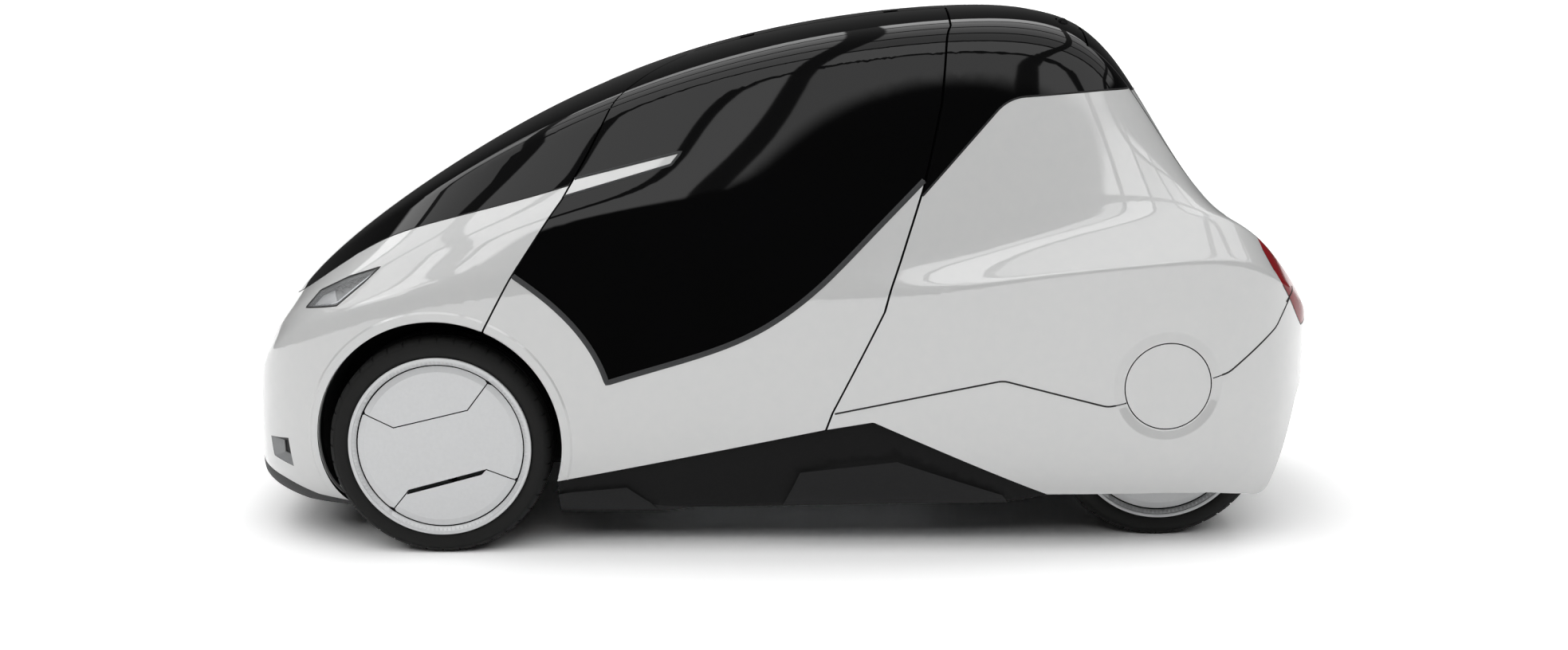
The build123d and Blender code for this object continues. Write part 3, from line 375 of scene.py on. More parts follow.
def border(mesh, faces):
    """Runs of vertices along the border of some faces."""
    uses = {}
    for face in faces:
        for edge in mesh.polygons[face].edge_keys:
            uses[edge] = uses.get(edge, 0) + 1
    links = {}
    for (a, b), times in uses.items():
        if times == 1:
            links.setdefault(a, []).append(b)
            links.setdefault(b, []).append(a)
    runs = []
    while links:
        start = next((v for v, near in links.items() if len(near) == 1), next(iter(links)))
        run = [start]
        while links.get(run[-1]):
            ahead = links[run[-1]].pop()
            links[ahead].remove(run[-1])
            run.append(ahead)
        links = {v: near for v, near in links.items() if near}
        runs.append(run)
    return runs


def resampled(points, step):
    """Points at even steps along a run."""
    lengths = np.linalg.norm(np.diff(points, axis=0), axis=1)
    along = np.concatenate([[0], np.cumsum(lengths)])
    count = max(int(round(along[-1] / step)), 2)
    places = np.linspace(0, along[-1], count + 1)
    return np.stack([np.interp(places, along, points[:, k]) for k in range(3)], axis=1)


def panel(node, outside, inside, body):
    """Body panel with the skin's own smooth normals outside, and another finish on its edges and back.

    Without an outside finish only the panel's outline is kept.
    """
    mesh = merged_copy(node)
    normals = np.zeros((len(mesh.vertices), 3))
    on_skin = np.zeros(len(mesh.vertices), bool)
    for index, vertex in enumerate(mesh.vertices):
        normals[index], distance = skin.near(vertex.co)
        on_skin[index] = distance < SKIN_TOLERANCE
    if outside is dark_glass:
        upward = normals[:, 2]
        leaning = np.interp(upward, LEAN_FROM, LEAN_TO)
        normals *= np.sqrt((1 - leaning ** 2) / np.maximum(1 - upward ** 2, 1e-9))[:, None]
        normals[:, 2] = leaning
    corners = np.zeros((len(mesh.loops), 3))
    shown = []
    for face in mesh.polygons:
        ids = list(face.vertices)
        face.material_index = 1
        if on_skin[ids].all() and (normals[ids] @ np.array(face.normal)).min() > SAME_WAY:
            face.material_index = 0
            corners[list(face.loop_indices)] = normals[ids]
            shown.append(face.index)
    mesh.normals_split_custom_set(corners.tolist())
    places = mesh_points(mesh)
    outlines[node] = [places[run] for run in border(mesh, shown)]
    if outside is None:
        return
    materials = [face.material_index for face in mesh.polygons]
    piece = new_piece(f"{node}_finish", mesh, [outside, inside], body)
    mesh.polygons.foreach_set("material_index", materials)
    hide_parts(node)


def shared_edge(node, others, step, reach=2.0 * MM):
    """Runs of a panel's edge that lie against other panels."""
    fence = np.concatenate([resampled(run, FENCE_STEP) for other in others for run in outlines[other]])
    tree = KDTree(len(fence))
    for index, place in enumerate(fence):
        tree.insert(place, index)
    tree.balance()
    runs = []
    for outline in outlines[node]:
        points = resampled(outline, step)
        closed = np.linalg.norm(points[0] - points[-1]) < 1e-6
        near = np.array([tree.find(p)[2] < reach for p in points])
        if near.all():
            runs.append(points[:-1] if closed else points)
            continue
        if closed:
            first = int(np.argmin(near))
            points, near = np.roll(points[:-1], -first, axis=0), np.roll(near[:-1], -first)
        current = []
        for place, keep in zip(points, near):
            if keep:
                current.append(place)
            elif current:
                runs.append(np.array(current))
                current = []
        if current:
            runs.append(np.array(current))
    return [run for run in runs if len(run) > 2]


def bead_mesh(name, runs, width, height, sunk=0.8 * MM, loops=False):
    """Low rounded strip along runs of points on the skin."""
    section = [(-0.5, None), (-0.5, 0.2), (-0.28, 0.85), (0.0, 1.0), (0.28, 0.85), (0.5, 0.2), (0.5, None)]
    size = len(section)
    points, faces = [], []
    for run in runs:
        closed = loops and np.linalg.norm(run[0] - run[-1]) < 4 * width
        normals = np.array([skin.near(p)[0] for p in run])
        if closed:
            tangents = np.roll(run, -1, axis=0) - np.roll(run, 1, axis=0)
        else:
            tangents = np.gradient(run, axis=0)
        sides = np.cross(normals, tangents)
        sides /= np.linalg.norm(sides, axis=1, keepdims=True)
        base = len(points)
        for place, normal, side in zip(run, normals, sides):
            for across, rise in section:
                lift = -sunk if rise is None else rise * height
                points.append(place + side * across * width + normal * lift)
        faces += bands(base, len(run), size, closed)
        if not closed:
            faces += end_faces(base, len(run), size)
    return new_mesh(name, points, faces, math.radians(50))


def bead(name, node, others, width_mm, height_mm, material, body):
    """Seal or seam strip where a panel meets its neighbours."""
    runs = shared_edge(node, others.split(), BEAD_STEP)
    if runs:
        mesh = bead_mesh(name, runs, width_mm * MM, height_mm * MM, loops=True)
        new_piece(name, mesh, [material], body)


def lathe(name, profile, segments):
    """Closed ring about the Y axis from a closed profile (radius, y) in millimetres."""
    points = []
    for turn in range(segments):
        angle = math.tau * turn / segments
        for radius, y in profile:
            points.append((radius * MM * math.cos(angle), y * MM, radius * MM * math.sin(angle)))
    return new_mesh(name, points, bands(0, segments, len(profile), closed=True))


def baked(name, tree, mesh, **values):
    """Plain mesh that a node tree makes of a start mesh."""
    holder = bpy.data.objects.new(name, mesh)
    scene.collection.objects.link(holder)
    modifier = holder.modifiers.new(name, "NODES")
    modifier.node_group = tree
    for item in tree.interface.items_tree:
        if item.in_out == "INPUT" and item.name in values:
            modifier[item.identifier] = values[item.name]
    result = evaluated_mesh(holder)
    bpy.data.objects.remove(holder)
    return result


def ring_tree():
    """Node tree that repeats a block round the Y axis."""
    tree = bpy.data.node_groups.new("ring_round_axle", "GeometryNodeTree")
    for name, kind in (("Block", "Geometry"), ("Count", "Int"), ("Finish", "Material")):
        tree.interface.new_socket(name, in_out="INPUT", socket_type=f"NodeSocket{kind}")
    tree.interface.new_socket("Ring", in_out="OUTPUT", socket_type="NodeSocketGeometry")
    given = add(tree, "NodeGroupInput").outputs
    points = add(tree, "GeometryNodePoints", {"Count": given["Count"]})
    step = add(tree, "ShaderNodeMath", {0: math.tau, 1: given["Count"]}, operation="DIVIDE")
    index = add(tree, "GeometryNodeInputIndex")
    angle = add(tree, "ShaderNodeMath", {0: index.outputs[0], 1: step.outputs[0]}, operation="MULTIPLY")
    euler = add(tree, "ShaderNodeCombineXYZ", {"Y": angle.outputs[0]})
    turn = add(tree, "FunctionNodeEulerToRotation", {0: euler.outputs[0]})
    blocks = add(tree, "GeometryNodeInstanceOnPoints", {
        "Points": points.outputs[0], "Instance": given["Block"], "Rotation": turn.outputs[0],
    })
    solid = add(tree, "GeometryNodeRealizeInstances", {"Geometry": blocks.outputs[0]})
    done = add(tree, "GeometryNodeSetMaterial", {"Geometry": solid.outputs[0], "Material": given["Finish"]})
    add(tree, "NodeGroupOutput", {"Ring": done.outputs[0]})
    return tree


ring_round_axle = ring_tree()



def each_side(rows):
    """Rows of a table, with one for each side of the car where a row's first name holds {side}."""
    for row in rows:
        for side in ("left", "right") if "{side}" in row[0] else ("",):
            yield [item.format(side=side) if isinstance(item, str) else item for item in row]


# Body panels, glass and lamps
for node, outside, inside, body, slot in each_side([
    ("front_body", white_paint, satin_plastic, "chassis", "body_paint"),
    ("front_splitter", grained_plastic, grained_plastic, "chassis", "trim_black"),
    ("windscreen", dark_glass, dark_glass, "chassis", "dark_glass"),
    ("canopy_skin", dark_glass, dark_glass, "chassis", "dark_glass"),
    ("rear_body", white_paint, satin_plastic, "chassis", "body_paint"),
    ("rear_skirt", white_paint, satin_plastic, "chassis", "body_paint"),
    ("side_discs", white_paint, satin_plastic, "chassis", "body_paint"),
    ("headlamps", None, None, "chassis", "lamp_clear"),
    ("tail_lamps", red_lens, red_lens, "chassis", "lamp_red"),
    # Faces of the sills off the skin take the deeper black of painted shade
    ("side_sills", sill_plastic, sill_recess_shade, "chassis", "trim_black"),
    ("door_panel_{side}", white_paint, satin_plastic, "door_{side}", "body_paint"),
    ("door_glass_{side}", dark_glass, dark_glass, "door_{side}", "dark_glass"),
    ("door_blade_{side}", white_paint, satin_plastic, "door_{side}", "body_paint"),
    ("hatch_panel", white_paint, satin_plastic, "hatch", "body_paint"),
    ("hatch_glass", dark_glass, dark_glass, "hatch", "dark_glass"),
]):
    panel(node, outside, inside, body)

# Seams between fixed panels, and the rubber seals of the glass
for name, node, others, width_mm, height_mm, material, body in each_side([
    ("hood_seam", "windscreen", "front_body", 4, 0.6, seam_black, "chassis"),
    ("roof_seam", "windscreen", "canopy_skin", 3, 0.4, seam_black, "chassis"),
    ("belt_seam", "canopy_skin", "rear_body", 5, 0.8, seam_black, "chassis"),
    ("skirt_seam", "rear_skirt", "rear_body", 4.5, 1.3, seam_black, "chassis"),
    ("splitter_seam", "front_splitter", "front_body", 3, 0.4, seam_black, "chassis"),
    ("headlamp_bezels", "headlamps", "front_body", 5, 0.8, lamp_frame, "chassis"),
    ("tail_lamp_seam", "tail_lamps", "rear_body rear_skirt", 3, 0.4, seam_black, "chassis"),
    ("glass_seal_{side}", "door_glass_{side}", "door_panel_{side}", 14, 2.0, seal_rubber, "door_{side}"),
    ("blade_border_{side}", "door_blade_{side}", "door_glass_{side}", 7, 1.4, seal_rubber, "door_{side}"),
    ("hatch_seam", "hatch_glass", "hatch_panel", 3, 0.4, seam_black, "hatch"),
]):
    bead(name, node, others, width_mm, height_mm, material, body)

# Flat lips round the front wheel arches, on the wing and on the foot of each door
ARCH_CENTRE = np.array([-0.895, 0.305])
ARCH_RADIUS = 0.322
LIP_WIDTH, LIP_PROUD = 0.026, 0.0034
ARCH_STEP, ARCH_REACH, LEAST_FLANK_Y, LIP_STEPS = 8 * MM, 2 * MM, 0.3, 90
DOOR_LIP_TRIM = 0.04
# Section of the lip: radius, and depth under the skin
LIP_SECTION = [
    (ARCH_RADIUS + LIP_WIDTH, 0.003), (ARCH_RADIUS + LIP_WIDTH, -0.0004),
    (ARCH_RADIUS + LIP_WIDTH - 0.005, -LIP_PROUD), (ARCH_RADIUS + 0.002, -LIP_PROUD),
    (ARCH_RADIUS - 0.001, -0.0010), (ARCH_RADIUS - 0.001, 0.016), (ARCH_RADIUS + 0.004, 0.016),
]


def arch_lip(name, node, body, end_trim):
    """Flat rim along a panel's part of the wheel arch, its lower end trimmed by an angle."""
    points, faces = [], []
    for outline in outlines[node]:
        run = resampled(outline, ARCH_STEP)
        spokes = run[:, [0, 2]] - ARCH_CENTRE
        radii = np.linalg.norm(spokes, axis=1)
        on_arch = np.abs(radii - ARCH_RADIUS) < ARCH_REACH
        for side in (-1, 1):
            keep = on_arch & (run[:, 1] * side > LEAST_FLANK_Y)
            if not keep.any():
                continue
            angles = np.arctan2(spokes[keep, 1], spokes[keep, 0])
            angles = np.where(angles < -math.pi / 2, angles + math.tau, angles)
            sections = []
            for angle in np.linspace(angles.min() + end_trim, angles.max(), LIP_STEPS):
                spoke = np.array([math.cos(angle), math.sin(angle)])
                rim = ARCH_CENTRE + spoke * (ARCH_RADIUS + LIP_WIDTH)
                spot = skin.from_side(rim[0], rim[1], side)
                if spot is None:
                    continue
                face_y = spot[0][1]
                section = []
                for radius, depth in LIP_SECTION:
                    place = ARCH_CENTRE + spoke * radius
                    section.append((place[0], face_y - side * depth, place[1]))
                sections.append(section)
            base, size = len(points), len(LIP_SECTION)
            points += [p for section in sections for p in section]
            faces += bands(base, len(sections), size) + end_faces(base, len(sections), size)
    if points:
        new_piece(name, new_mesh(name, points, faces), [white_paint], body)


arch_lip("wing_arch_lips", "front_body", "chassis", 0.0)
for side in ("left", "right"):
    arch_lip(f"door_arch_lip_{side}", f"door_panel_{side}", f"door_{side}", DOOR_LIP_TRIM)

# Plates let into the skin: lamps and sill trim


def side_line(points, shares):
    """Places at shares of the way along a side-view line."""
    line = np.array([(x, 0.0, z) for x, z in points], float)
    along = np.concatenate([[0], np.cumsum(np.linalg.norm(np.diff(line, axis=0), axis=1))])
    places = np.array(shares) * along[-1]
    return np.stack([np.interp(places, along, line[:, k]) for k in (0, 2)], axis=1)


def part_line(points, start, end, count=9):
    """The stretch of a side-view line between two shares of its length."""
    return [tuple(p) for p in side_line(points, np.linspace(start, end, count))]


def plate(upper, lower, side, top_mm, bottom_mm, columns, rows):
    """Closed plate between two side-view lines, from one depth under the skin to another."""
    shares = np.linspace(0, 1, columns + 1)
    high, low = side_line(upper, shares), side_line(lower, shares)
    points, faces = [], []
    for depth in (top_mm, bottom_mm):
        for start, end in zip(high, low):
            for share in np.linspace(0, 1, rows + 1):
                x, z = between(start, end, share)
                spot, normal = skin.from_side(x * MM, z * MM, side)
                points.append(spot - normal * depth * MM)
    size = rows + 1
    layer = size * (columns + 1)
    for i in range(columns):
        for j in range(rows):
            a, b = i * size + j, (i + 1) * size + j
            faces.append((a, b, b + 1, a + 1))
            faces.append((layer + a, layer + a + 1, layer + b + 1, layer + b))
    rim = [i * size for i in range(columns + 1)] + [columns * size + j for j in range(1, size)]
    rim += [i * size + rows for i in reversed(range(columns))] + [j for j in reversed(range(1, rows))]
    for near, far in zip(rim, [*rim[1:], rim[0]]):
        faces.append((near, layer + near, layer + far, far))
    return points, faces


def plates(name, shapes, material, columns=24, rows=3):
    """One piece of like plates on both sides of the car.

    Each shape has its upper and lower line, and its face's and back's depth under the skin in millimetres.
    """
    points, faces = [], []
    for side in (-1, 1):
        for upper, lower, top_mm, bottom_mm in shapes:
            more, quads = plate(upper, lower, side, top_mm, bottom_mm, columns, rows)
            faces += [tuple(len(points) + k for k in quad) for quad in quads]
            points += more
    return new_piece(name, new_mesh(name, points, faces), [material], "chassis")


# Headlamps: dark frame round an opening, with a pale reflector in front, a row of fins, and a clear cover
LAMP_UPPER = [(-1252, 639), (-1214, 683), (-1129, 725), (-1042, 755)]
LAMP_LOWER = [(-1252, 639), (-1154, 657), (-1084, 715), (-1042, 755)]
OPENING_UPPER = [(-1240, 645), (-1213, 675), (-1135, 713), (-1064, 739)]
OPENING_LOWER = [(-1240, 645), (-1157, 665), (-1094, 716), (-1064, 739)]
FIN_SHARES = [(0.42, 0.52), (0.54, 0.64), (0.66, 0.75), (0.77, 0.85), (0.87, 0.94)]
FIN_DROP = 0.55
REFLECTOR_END = 0.40
PROJECTOR_SHARES = (0.36, 0.62)
bright_edge = part_line(OPENING_LOWER, 0.05, 0.98, 20)
bright_foot = [(x + 1.5, z - 2.0) for x, z in bright_edge]
fins = []
for start, end in FIN_SHARES:
    root = part_line(OPENING_UPPER, start, end, 3)
    foot = side_line(OPENING_LOWER, [end + 0.02])[0]
    tip = tuple(between(np.array(root[-1]), foot, FIN_DROP))
    fins.append((root, [root[0], tip, tip], 6.0, 9.0))
lamp_pieces = [
    plates("headlamp_beds", [(LAMP_UPPER, LAMP_LOWER, 16.0, 24.0)], lamp_grey),
    plates("headlamp_frames", [
        (LAMP_UPPER, OPENING_UPPER, 2.5, 18.0), (OPENING_LOWER, LAMP_LOWER, 2.5, 18.0),
    ], lamp_frame, rows=2),
    plates("headlamp_reflectors", [
        (part_line(OPENING_UPPER, 0, REFLECTOR_END), part_line(OPENING_LOWER, 0, REFLECTOR_END), 10.0, 14.0),
    ], pale_reflector),
    plates("headlamp_fins", fins, lamp_frame, columns=4, rows=2),
    plates("headlamp_projectors", [
        (part_line(LAMP_LOWER, *PROJECTOR_SHARES), part_line(OPENING_LOWER, *PROJECTOR_SHARES), 5.0, 12.0),
    ], satin_plastic, columns=10, rows=2),
    plates("headlamp_brightwork", [
        (bright_edge, bright_foot, 1.8, 6.0),
    ], bright_reflector, columns=30, rows=1),
    plates("headlamp_covers", [
        (LAMP_UPPER, LAMP_LOWER, 0.0, 1.6),
    ], clear_lens, columns=40, rows=8),
]
for piece in lamp_pieces:
    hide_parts("headlamps")

# Dark joint between the two halves of each tail lamp
LAMP_JOINT = [(1318, 652), (1346, 682)]
joint_line = part_line(LAMP_JOINT, 0, 1, 12)
joint_runs = [
    np.array([skin.from_side(x * MM, z * MM, side)[0] for x, z in joint_line]) for side in (-1, 1)
]
joint_mesh = bead_mesh("tail_lamp_joints", joint_runs, 5 * MM, 1.2 * MM)
new_piece("tail_lamp_joints", joint_mesh, [seam_black], "chassis")

# Sill: a near-black band along it, painted shade where the sill has a slot, and a lighter strip at its foot
SLOT_UPPER = [(-384, 172), (-4, 190)]
SLOT_LOWER = [(-372, 152), (-14, 164)]
STRIP_UPPER = [(-585, 132), (-372, 150), (-10, 158), (560, 162)]
STRIP_LOWER = [(-585, 102), (-340, 102), (-240, 122), (560, 150)]
# Near-black band of painted shade along the sill's slot
plates("sill_slot_shades", [(SLOT_UPPER, SLOT_LOWER, 14.5, 20.0)], seam_black, columns=30)
plates("sill_strips", [(STRIP_UPPER, STRIP_LOWER, 8.0, 20.0)], sill_plastic, columns=60)

# Nose vents: funnel walls that narrow to the grille, painted dark above and behind as painted shade, and
# paler below and in front as painted light
VENT = [(-1365, 290), (-1305, 298), (-1296, 219), (-1358, 237)]
GRILLE = [(-1330, 284), (-1308, 288), (-1302, 246), (-1330, 250)]
VENT_DEPTH = 11.0
# Finish of the upper, rear, lower and front wall: the dark one is painted shade, the paler one painted light
VENT_WALL_SHADING = [1, 1, 0, 0]
WALL_STEPS = 8
vent_ring = len(VENT) * WALL_STEPS
vent_layers = [(VENT, 0.5), (GRILLE, VENT_DEPTH), (GRILLE, VENT_DEPTH + 3), (VENT, VENT_DEPTH + 3)]
points, faces = [], []
for side in (-1, 1):
    base = len(points)
    for outline, depth in vent_layers:
        for share in range(vent_ring):
            corner, step = divmod(share, WALL_STEPS)
            start, end = np.array(outline[corner]), np.array(outline[(corner + 1) % len(outline)])
            x, z = between(start, end, step / WALL_STEPS)
            spot, normal = skin.from_side(x * MM, z * MM, side)
            points.append(spot - normal * depth * MM)
    faces += bands(base, len(vent_layers), vent_ring, closed=True)
vent_mesh = new_mesh("nose_vent_funnels", points, faces)
new_piece("nose_vent_funnels", vent_mesh, [lamp_grey, lamp_frame], "chassis")
# Each wall takes its painted shade or painted light as its finish
vent_painted_shading = [VENT_WALL_SHADING[face % vent_ring // WALL_STEPS] for face in range(len(faces))]
vent_mesh.polygons.foreach_set("material_index", vent_painted_shading)

# Thin ring on the skin round each side disc, shaded like the slope of a shallow dish
DISC_X, DISC_Z = 989, 456
DISH_INNER, DISH_OUTER = 117.0, 146.0
DISH_FACE, DISH_BACK, DISH_EDGE_DROP = -0.7, 1.0, 0.8
DISH_SLOPE, DISH_FADE, DISH_INNER_LEAN = 0.45, 4, 0.6
DISH_OUTWARD = 0.9
DISH_TURNS, DISH_RINGS = 96, 8
points, faces, leans = [], [], []
for side in (-1, 1):
    for depth in (DISH_FACE, DISH_BACK):
        for ring in np.linspace(0, 1, DISH_RINGS + 1):
            radius = between(DISH_INNER, DISH_OUTER, ring)
            lift = depth + (DISH_EDGE_DROP if ring in (0.0, 1.0) else 0.0)
            for turn in range(DISH_TURNS):
                angle = math.tau * turn / DISH_TURNS
                x, z = DISC_X + radius * math.cos(angle), DISC_Z + radius * math.sin(angle)
                spot, normal = skin.from_side(x * MM, z * MM, side)
                inward = np.array([-math.cos(angle), 0, -math.sin(angle)])
                fade = min(1.0, DISH_FADE * (1 - ring), DISH_FADE * ring + DISH_INNER_LEAN)
                lean = normal + inward * DISH_SLOPE * fade
                points.append(spot - normal * lift * MM)
                leans.append(lean / np.linalg.norm(lean))
size = DISH_TURNS * (DISH_RINGS + 1)
for shell in range(2):
    base = shell * 2 * size
    for ring in range(DISH_RINGS):
        for turn in range(DISH_TURNS):
            after = (turn + 1) % DISH_TURNS
            a, b = base + ring * DISH_TURNS, base + (ring + 1) * DISH_TURNS
            faces.append((a + turn, a + after, b + after, b + turn))
            faces.append((size + a + turn, size + b + turn, size + b + after, size + a + after))
    for edge in (0, DISH_RINGS * DISH_TURNS):
        for turn in range(DISH_TURNS):
            a, b = base + edge + turn, base + edge + (turn + 1) % DISH_TURNS
            faces.append((a, size + a, size + b, b))
dish_mesh = new_mesh("side_disc_dishes", points, faces)
dish_leans = KDTree(len(points))
for index, place in enumerate(points):
    dish_leans.insert(place, index)
dish_leans.balance()
corner_leans = np.zeros((len(dish_mesh.loops), 3))
for face in dish_mesh.polygons:
    if skin.near(face.center)[0] @ np.array(face.normal) > DISH_OUTWARD:
        for corner in face.loop_indices:
            place = dish_mesh.vertices[dish_mesh.loops[corner].vertex_index].co
            corner_leans[corner] = leans[dish_leans.find(place)[1]]
dish_mesh.normals_split_custom_set(corner_leans.tolist())
new_piece("side_disc_dishes", dish_mesh, [white_paint], "chassis")

# Parts whose CAD shape stays: a finish for each
for node, material in [
    ("floor_pan", coated_steel), ("jack_sockets", coated_steel), ("cabin_frame", satin_plastic),
    ("arch_liners", liner_felt), ("front_suspension", coated_steel), ("rear_axle", coated_steel),
    ("steering_wheel", soft_trim),
    ("knuckle_left", coated_steel), ("knuckle_right", coated_steel),
]:
    nodes[node].data.materials.clear()
    nodes[node].data.materials.append(material)

# Seats: a moulded shell with stuffed cushions, sewn down along channels


def signed_power(value, power):
    """A power of a value's size, with its sign kept."""
    return math.copysign(abs(value) ** power, value)


def cushion_cover(name, size):
    """Crowned closed cover, its sides pulled in between the corners, a little smaller than the size."""
    half = np.array(size) / 2 * COVER_SHARE
    points = []
    for level in range(1, COVER_LEVELS):
        rise = math.pi * (level / COVER_LEVELS - 0.5)
        flat, w = signed_power(math.cos(rise), CUSHION_EDGE), signed_power(math.sin(rise), CUSHION_FACE)
        for turn in range(COVER_TURNS):
            angle = math.tau * turn / COVER_TURNS
            u = signed_power(math.cos(angle), CUSHION_CORNER) * flat
            v = signed_power(math.sin(angle), CUSHION_CORNER) * flat
            waist = 1 - SIDE_PULL * (1 - u ** 4) * (1 - v ** 4)
            crown = 1 - CROWN_FALL * (u * u + v * v) / 2
            points.append((u * half[0] * waist, v * half[1] * waist, w * crown * half[2]))
    faces = bands(0, COVER_LEVELS - 1, COVER_TURNS)
    last = (COVER_LEVELS - 2) * COVER_TURNS
    faces.append(tuple(reversed(range(COVER_TURNS))))
    faces.append(tuple(range(last, last + COVER_TURNS)))
    return new_mesh(name, points, faces)


def stuffed_cushion(name, size, channels):
    """Cushion of a size (length, width, thickness) in metres: its cover blown up as cloth, then sewn down."""
    holder = bpy.data.objects.new(name, cushion_cover(name, size))
    scene.collection.objects.link(holder)
    weave = holder.modifiers.new("weave", "REMESH")
    weave.mode = "VOXEL"
    weave.voxel_size = WEAVE_STEP
    mesh = evaluated_mesh(holder)
    holder.modifiers.clear()
    holder.data = mesh
    places = mesh_points(mesh)
    cloth = holder.modifiers.new("stuffing", "CLOTH")
    cloth.settings.use_pressure = True
    cloth.settings.uniform_pressure_force = STUFFING_PRESSURE
    cloth.settings.effector_weights.gravity = 0
    for moment in range(1, STUFFING_STEPS + 1):
        scene.frame_set(moment)
    swell = mesh_points(evaluated_mesh(holder)) - places
    holder.modifiers.clear()
    scene.frame_set(1)
    reach = np.linalg.norm(swell, axis=1, keepdims=True)
    places += swell * np.minimum(1, SWELL_CAP / np.maximum(reach, 1e-9))
    low, high = places.min(axis=0), places.max(axis=0)
    places = (places - (low + high) / 2) * np.array(size) / (high - low)
    across = places[:, 1] / (size[1] / 2)
    sewn = sum(np.exp(-((across - channel) / CHANNEL_WIDTH) ** 2) for channel in channels)
    places[:, 2] *= 1 - CHANNEL_DEPTH * sewn
    mesh.vertices.foreach_set("co", places.ravel())
    mesh.shade_smooth()
    bpy.data.objects.remove(holder)
    return mesh


def cushion(name, form, place, tilt):
    """Copy of a cushion, turned about Y and set in place."""
    mesh = form.copy()
    mesh.transform(Matrix.Translation(place) @ Matrix.Rotation(tilt, 4, "Y"))
    piece = new_piece(name, mesh, [seat_cloth], "chassis")
    return piece


def softened(node, radius_mm):
    """A CAD node's mesh with its straight edges rounded."""
    work = merged(nodes[node].data)
    bmesh.ops.dissolve_limit(work, angle_limit=math.radians(1), verts=work.verts, edges=work.edges)
    sharp = [edge for edge in work.edges if len(edge.link_faces) == 2 and edge.calc_face_angle(0) > SHARP]
    bmesh.ops.bevel(
        work, geom=sharp, offset=radius_mm * MM, segments=4, profile=0.5, affect="EDGES", clamp_overlap=True,
    )
    bmesh.ops.triangulate(work, faces=[face for face in work.faces if len(face.verts) > 4])
    return settle(work, bpy.data.meshes.new(f"{node}_soft"))


# Roundness of a cover's edge, corners and face, and how far its sides and crown draw in
CUSHION_EDGE, CUSHION_CORNER, CUSHION_FACE = 0.30, 0.28, 0.55
SIDE_PULL, CROWN_FALL = 0.03, 0.22
COVER_SHARE, COVER_TURNS, COVER_LEVELS = 0.92, 96, 40
WEAVE_STEP = 6 * MM
STUFFING_PRESSURE, STUFFING_STEPS, SWELL_CAP = 4.0, 20, 25 * MM
# Sewn channels, as shares of the cushion's half width and half thickness
SEWN_CHANNELS = (-0.55, 0.55)
CHANNEL_WIDTH, CHANNEL_DEPTH = 0.05, 0.16
SEAT_WIDTH = 0.425
SQUAB_SIZE = (0.375, SEAT_WIDTH, 0.085)
BACK_SIZE = (0.500, SEAT_WIDTH, 0.090)
HEAD_SIZE = (0.110, 0.250, 0.070)
Seat = namedtuple("Seat", "node squab squab_tilt back back_tilt head")
SEATS = [
    Seat("front_seat", (-0.055, 0, 0.372), 0.08, (0.225, 0, 0.640), -1.285, (0.335, 0, 0.935)),
    Seat("rear_seat", (0.625, 0, 0.415), 0.087, (0.822, 0, 0.700), -1.433, (0.885, 0, 0.985)),
]
# The shell is the solid seat made narrower, and sunk under its cushions above the foot
SOLID_WIDTH, SHELL_WIDTH, SHELL_DROP, FOOT_HEIGHT = 0.430, 0.385, 0.030, 0.30
squab_form = stuffed_cushion("squab_form", SQUAB_SIZE, SEWN_CHANNELS)
back_form = stuffed_cushion("back_form", BACK_SIZE, SEWN_CHANNELS)
headrest_form = stuffed_cushion("headrest_form", HEAD_SIZE, ())
for seat in SEATS:
    shell = nodes[seat.node].data.copy()
    work = merged(shell)
    for vertex in work.verts:
        vertex.co.y *= SHELL_WIDTH / SOLID_WIDTH
    work.normal_update()
    moves = [(vertex, vertex.normal * -SHELL_DROP * (vertex.co.z > FOOT_HEIGHT)) for vertex in work.verts]
    for vertex, move in moves:
        vertex.co += Vector((move.x, 0, move.z))
    settle(work, shell)
    pieces = [
        new_piece(f"{seat.node}_shell", shell, [soft_trim], "chassis"),
        cushion(f"{seat.node}_squab", squab_form, seat.squab, seat.squab_tilt),
        cushion(f"{seat.node}_back", back_form, seat.back, seat.back_tilt),
        cushion(f"{seat.node}_headrest", headrest_form, seat.head, seat.back_tilt),
    ]
    for piece in pieces:
        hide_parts(seat.node)

# Dashboard with rounded edges, and other blocks with their edges eased
for node, radius_mm, material, slot in [
    ("dashboard", 14, soft_trim, "interior"), ("battery_pack", 6, cast_aluminium, "unit_metal"),
    ("drive_unit", 12, cast_aluminium, "unit_metal"),
]:
    piece = new_piece(f"{node}_finish", softened(node, radius_mm), [material], "chassis")
    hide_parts(node)

# Bare display standing on the dashboard: a dark pane in a satin tray
DISPLAY_PLACE, DISPLAY_LEAN = Vector((-0.585, 0.0, 0.842)), math.radians(-18)
EASED_SHARE = 0.3
for name, thickness, width, height, ahead, material, slot in [
    ("display_tray", 0.012, 0.300, 0.110, 0.0, satin_plastic, "interior"),
    ("display_pane", 0.003, 0.288, 0.098, 0.0070, dark_glass, "dark_glass"),
]:
    work = bmesh.new()
    bmesh.ops.create_cube(work, size=1.0, matrix=Matrix.Diagonal((thickness, width, height, 1)))
    bmesh.ops.bevel(
        work, geom=work.edges[:], offset=thickness * EASED_SHARE, segments=3, profile=0.5, affect="EDGES",
    )
    mesh = settle(work, bpy.data.meshes.new(name))
    turned = Matrix.Translation(DISPLAY_PLACE) @ Matrix.Rotation(DISPLAY_LEAN, 4, "Y")
    mesh.transform(turned @ Matrix.Translation((ahead, 0, 0)))
    new_piece(name, mesh, [material], "chassis")

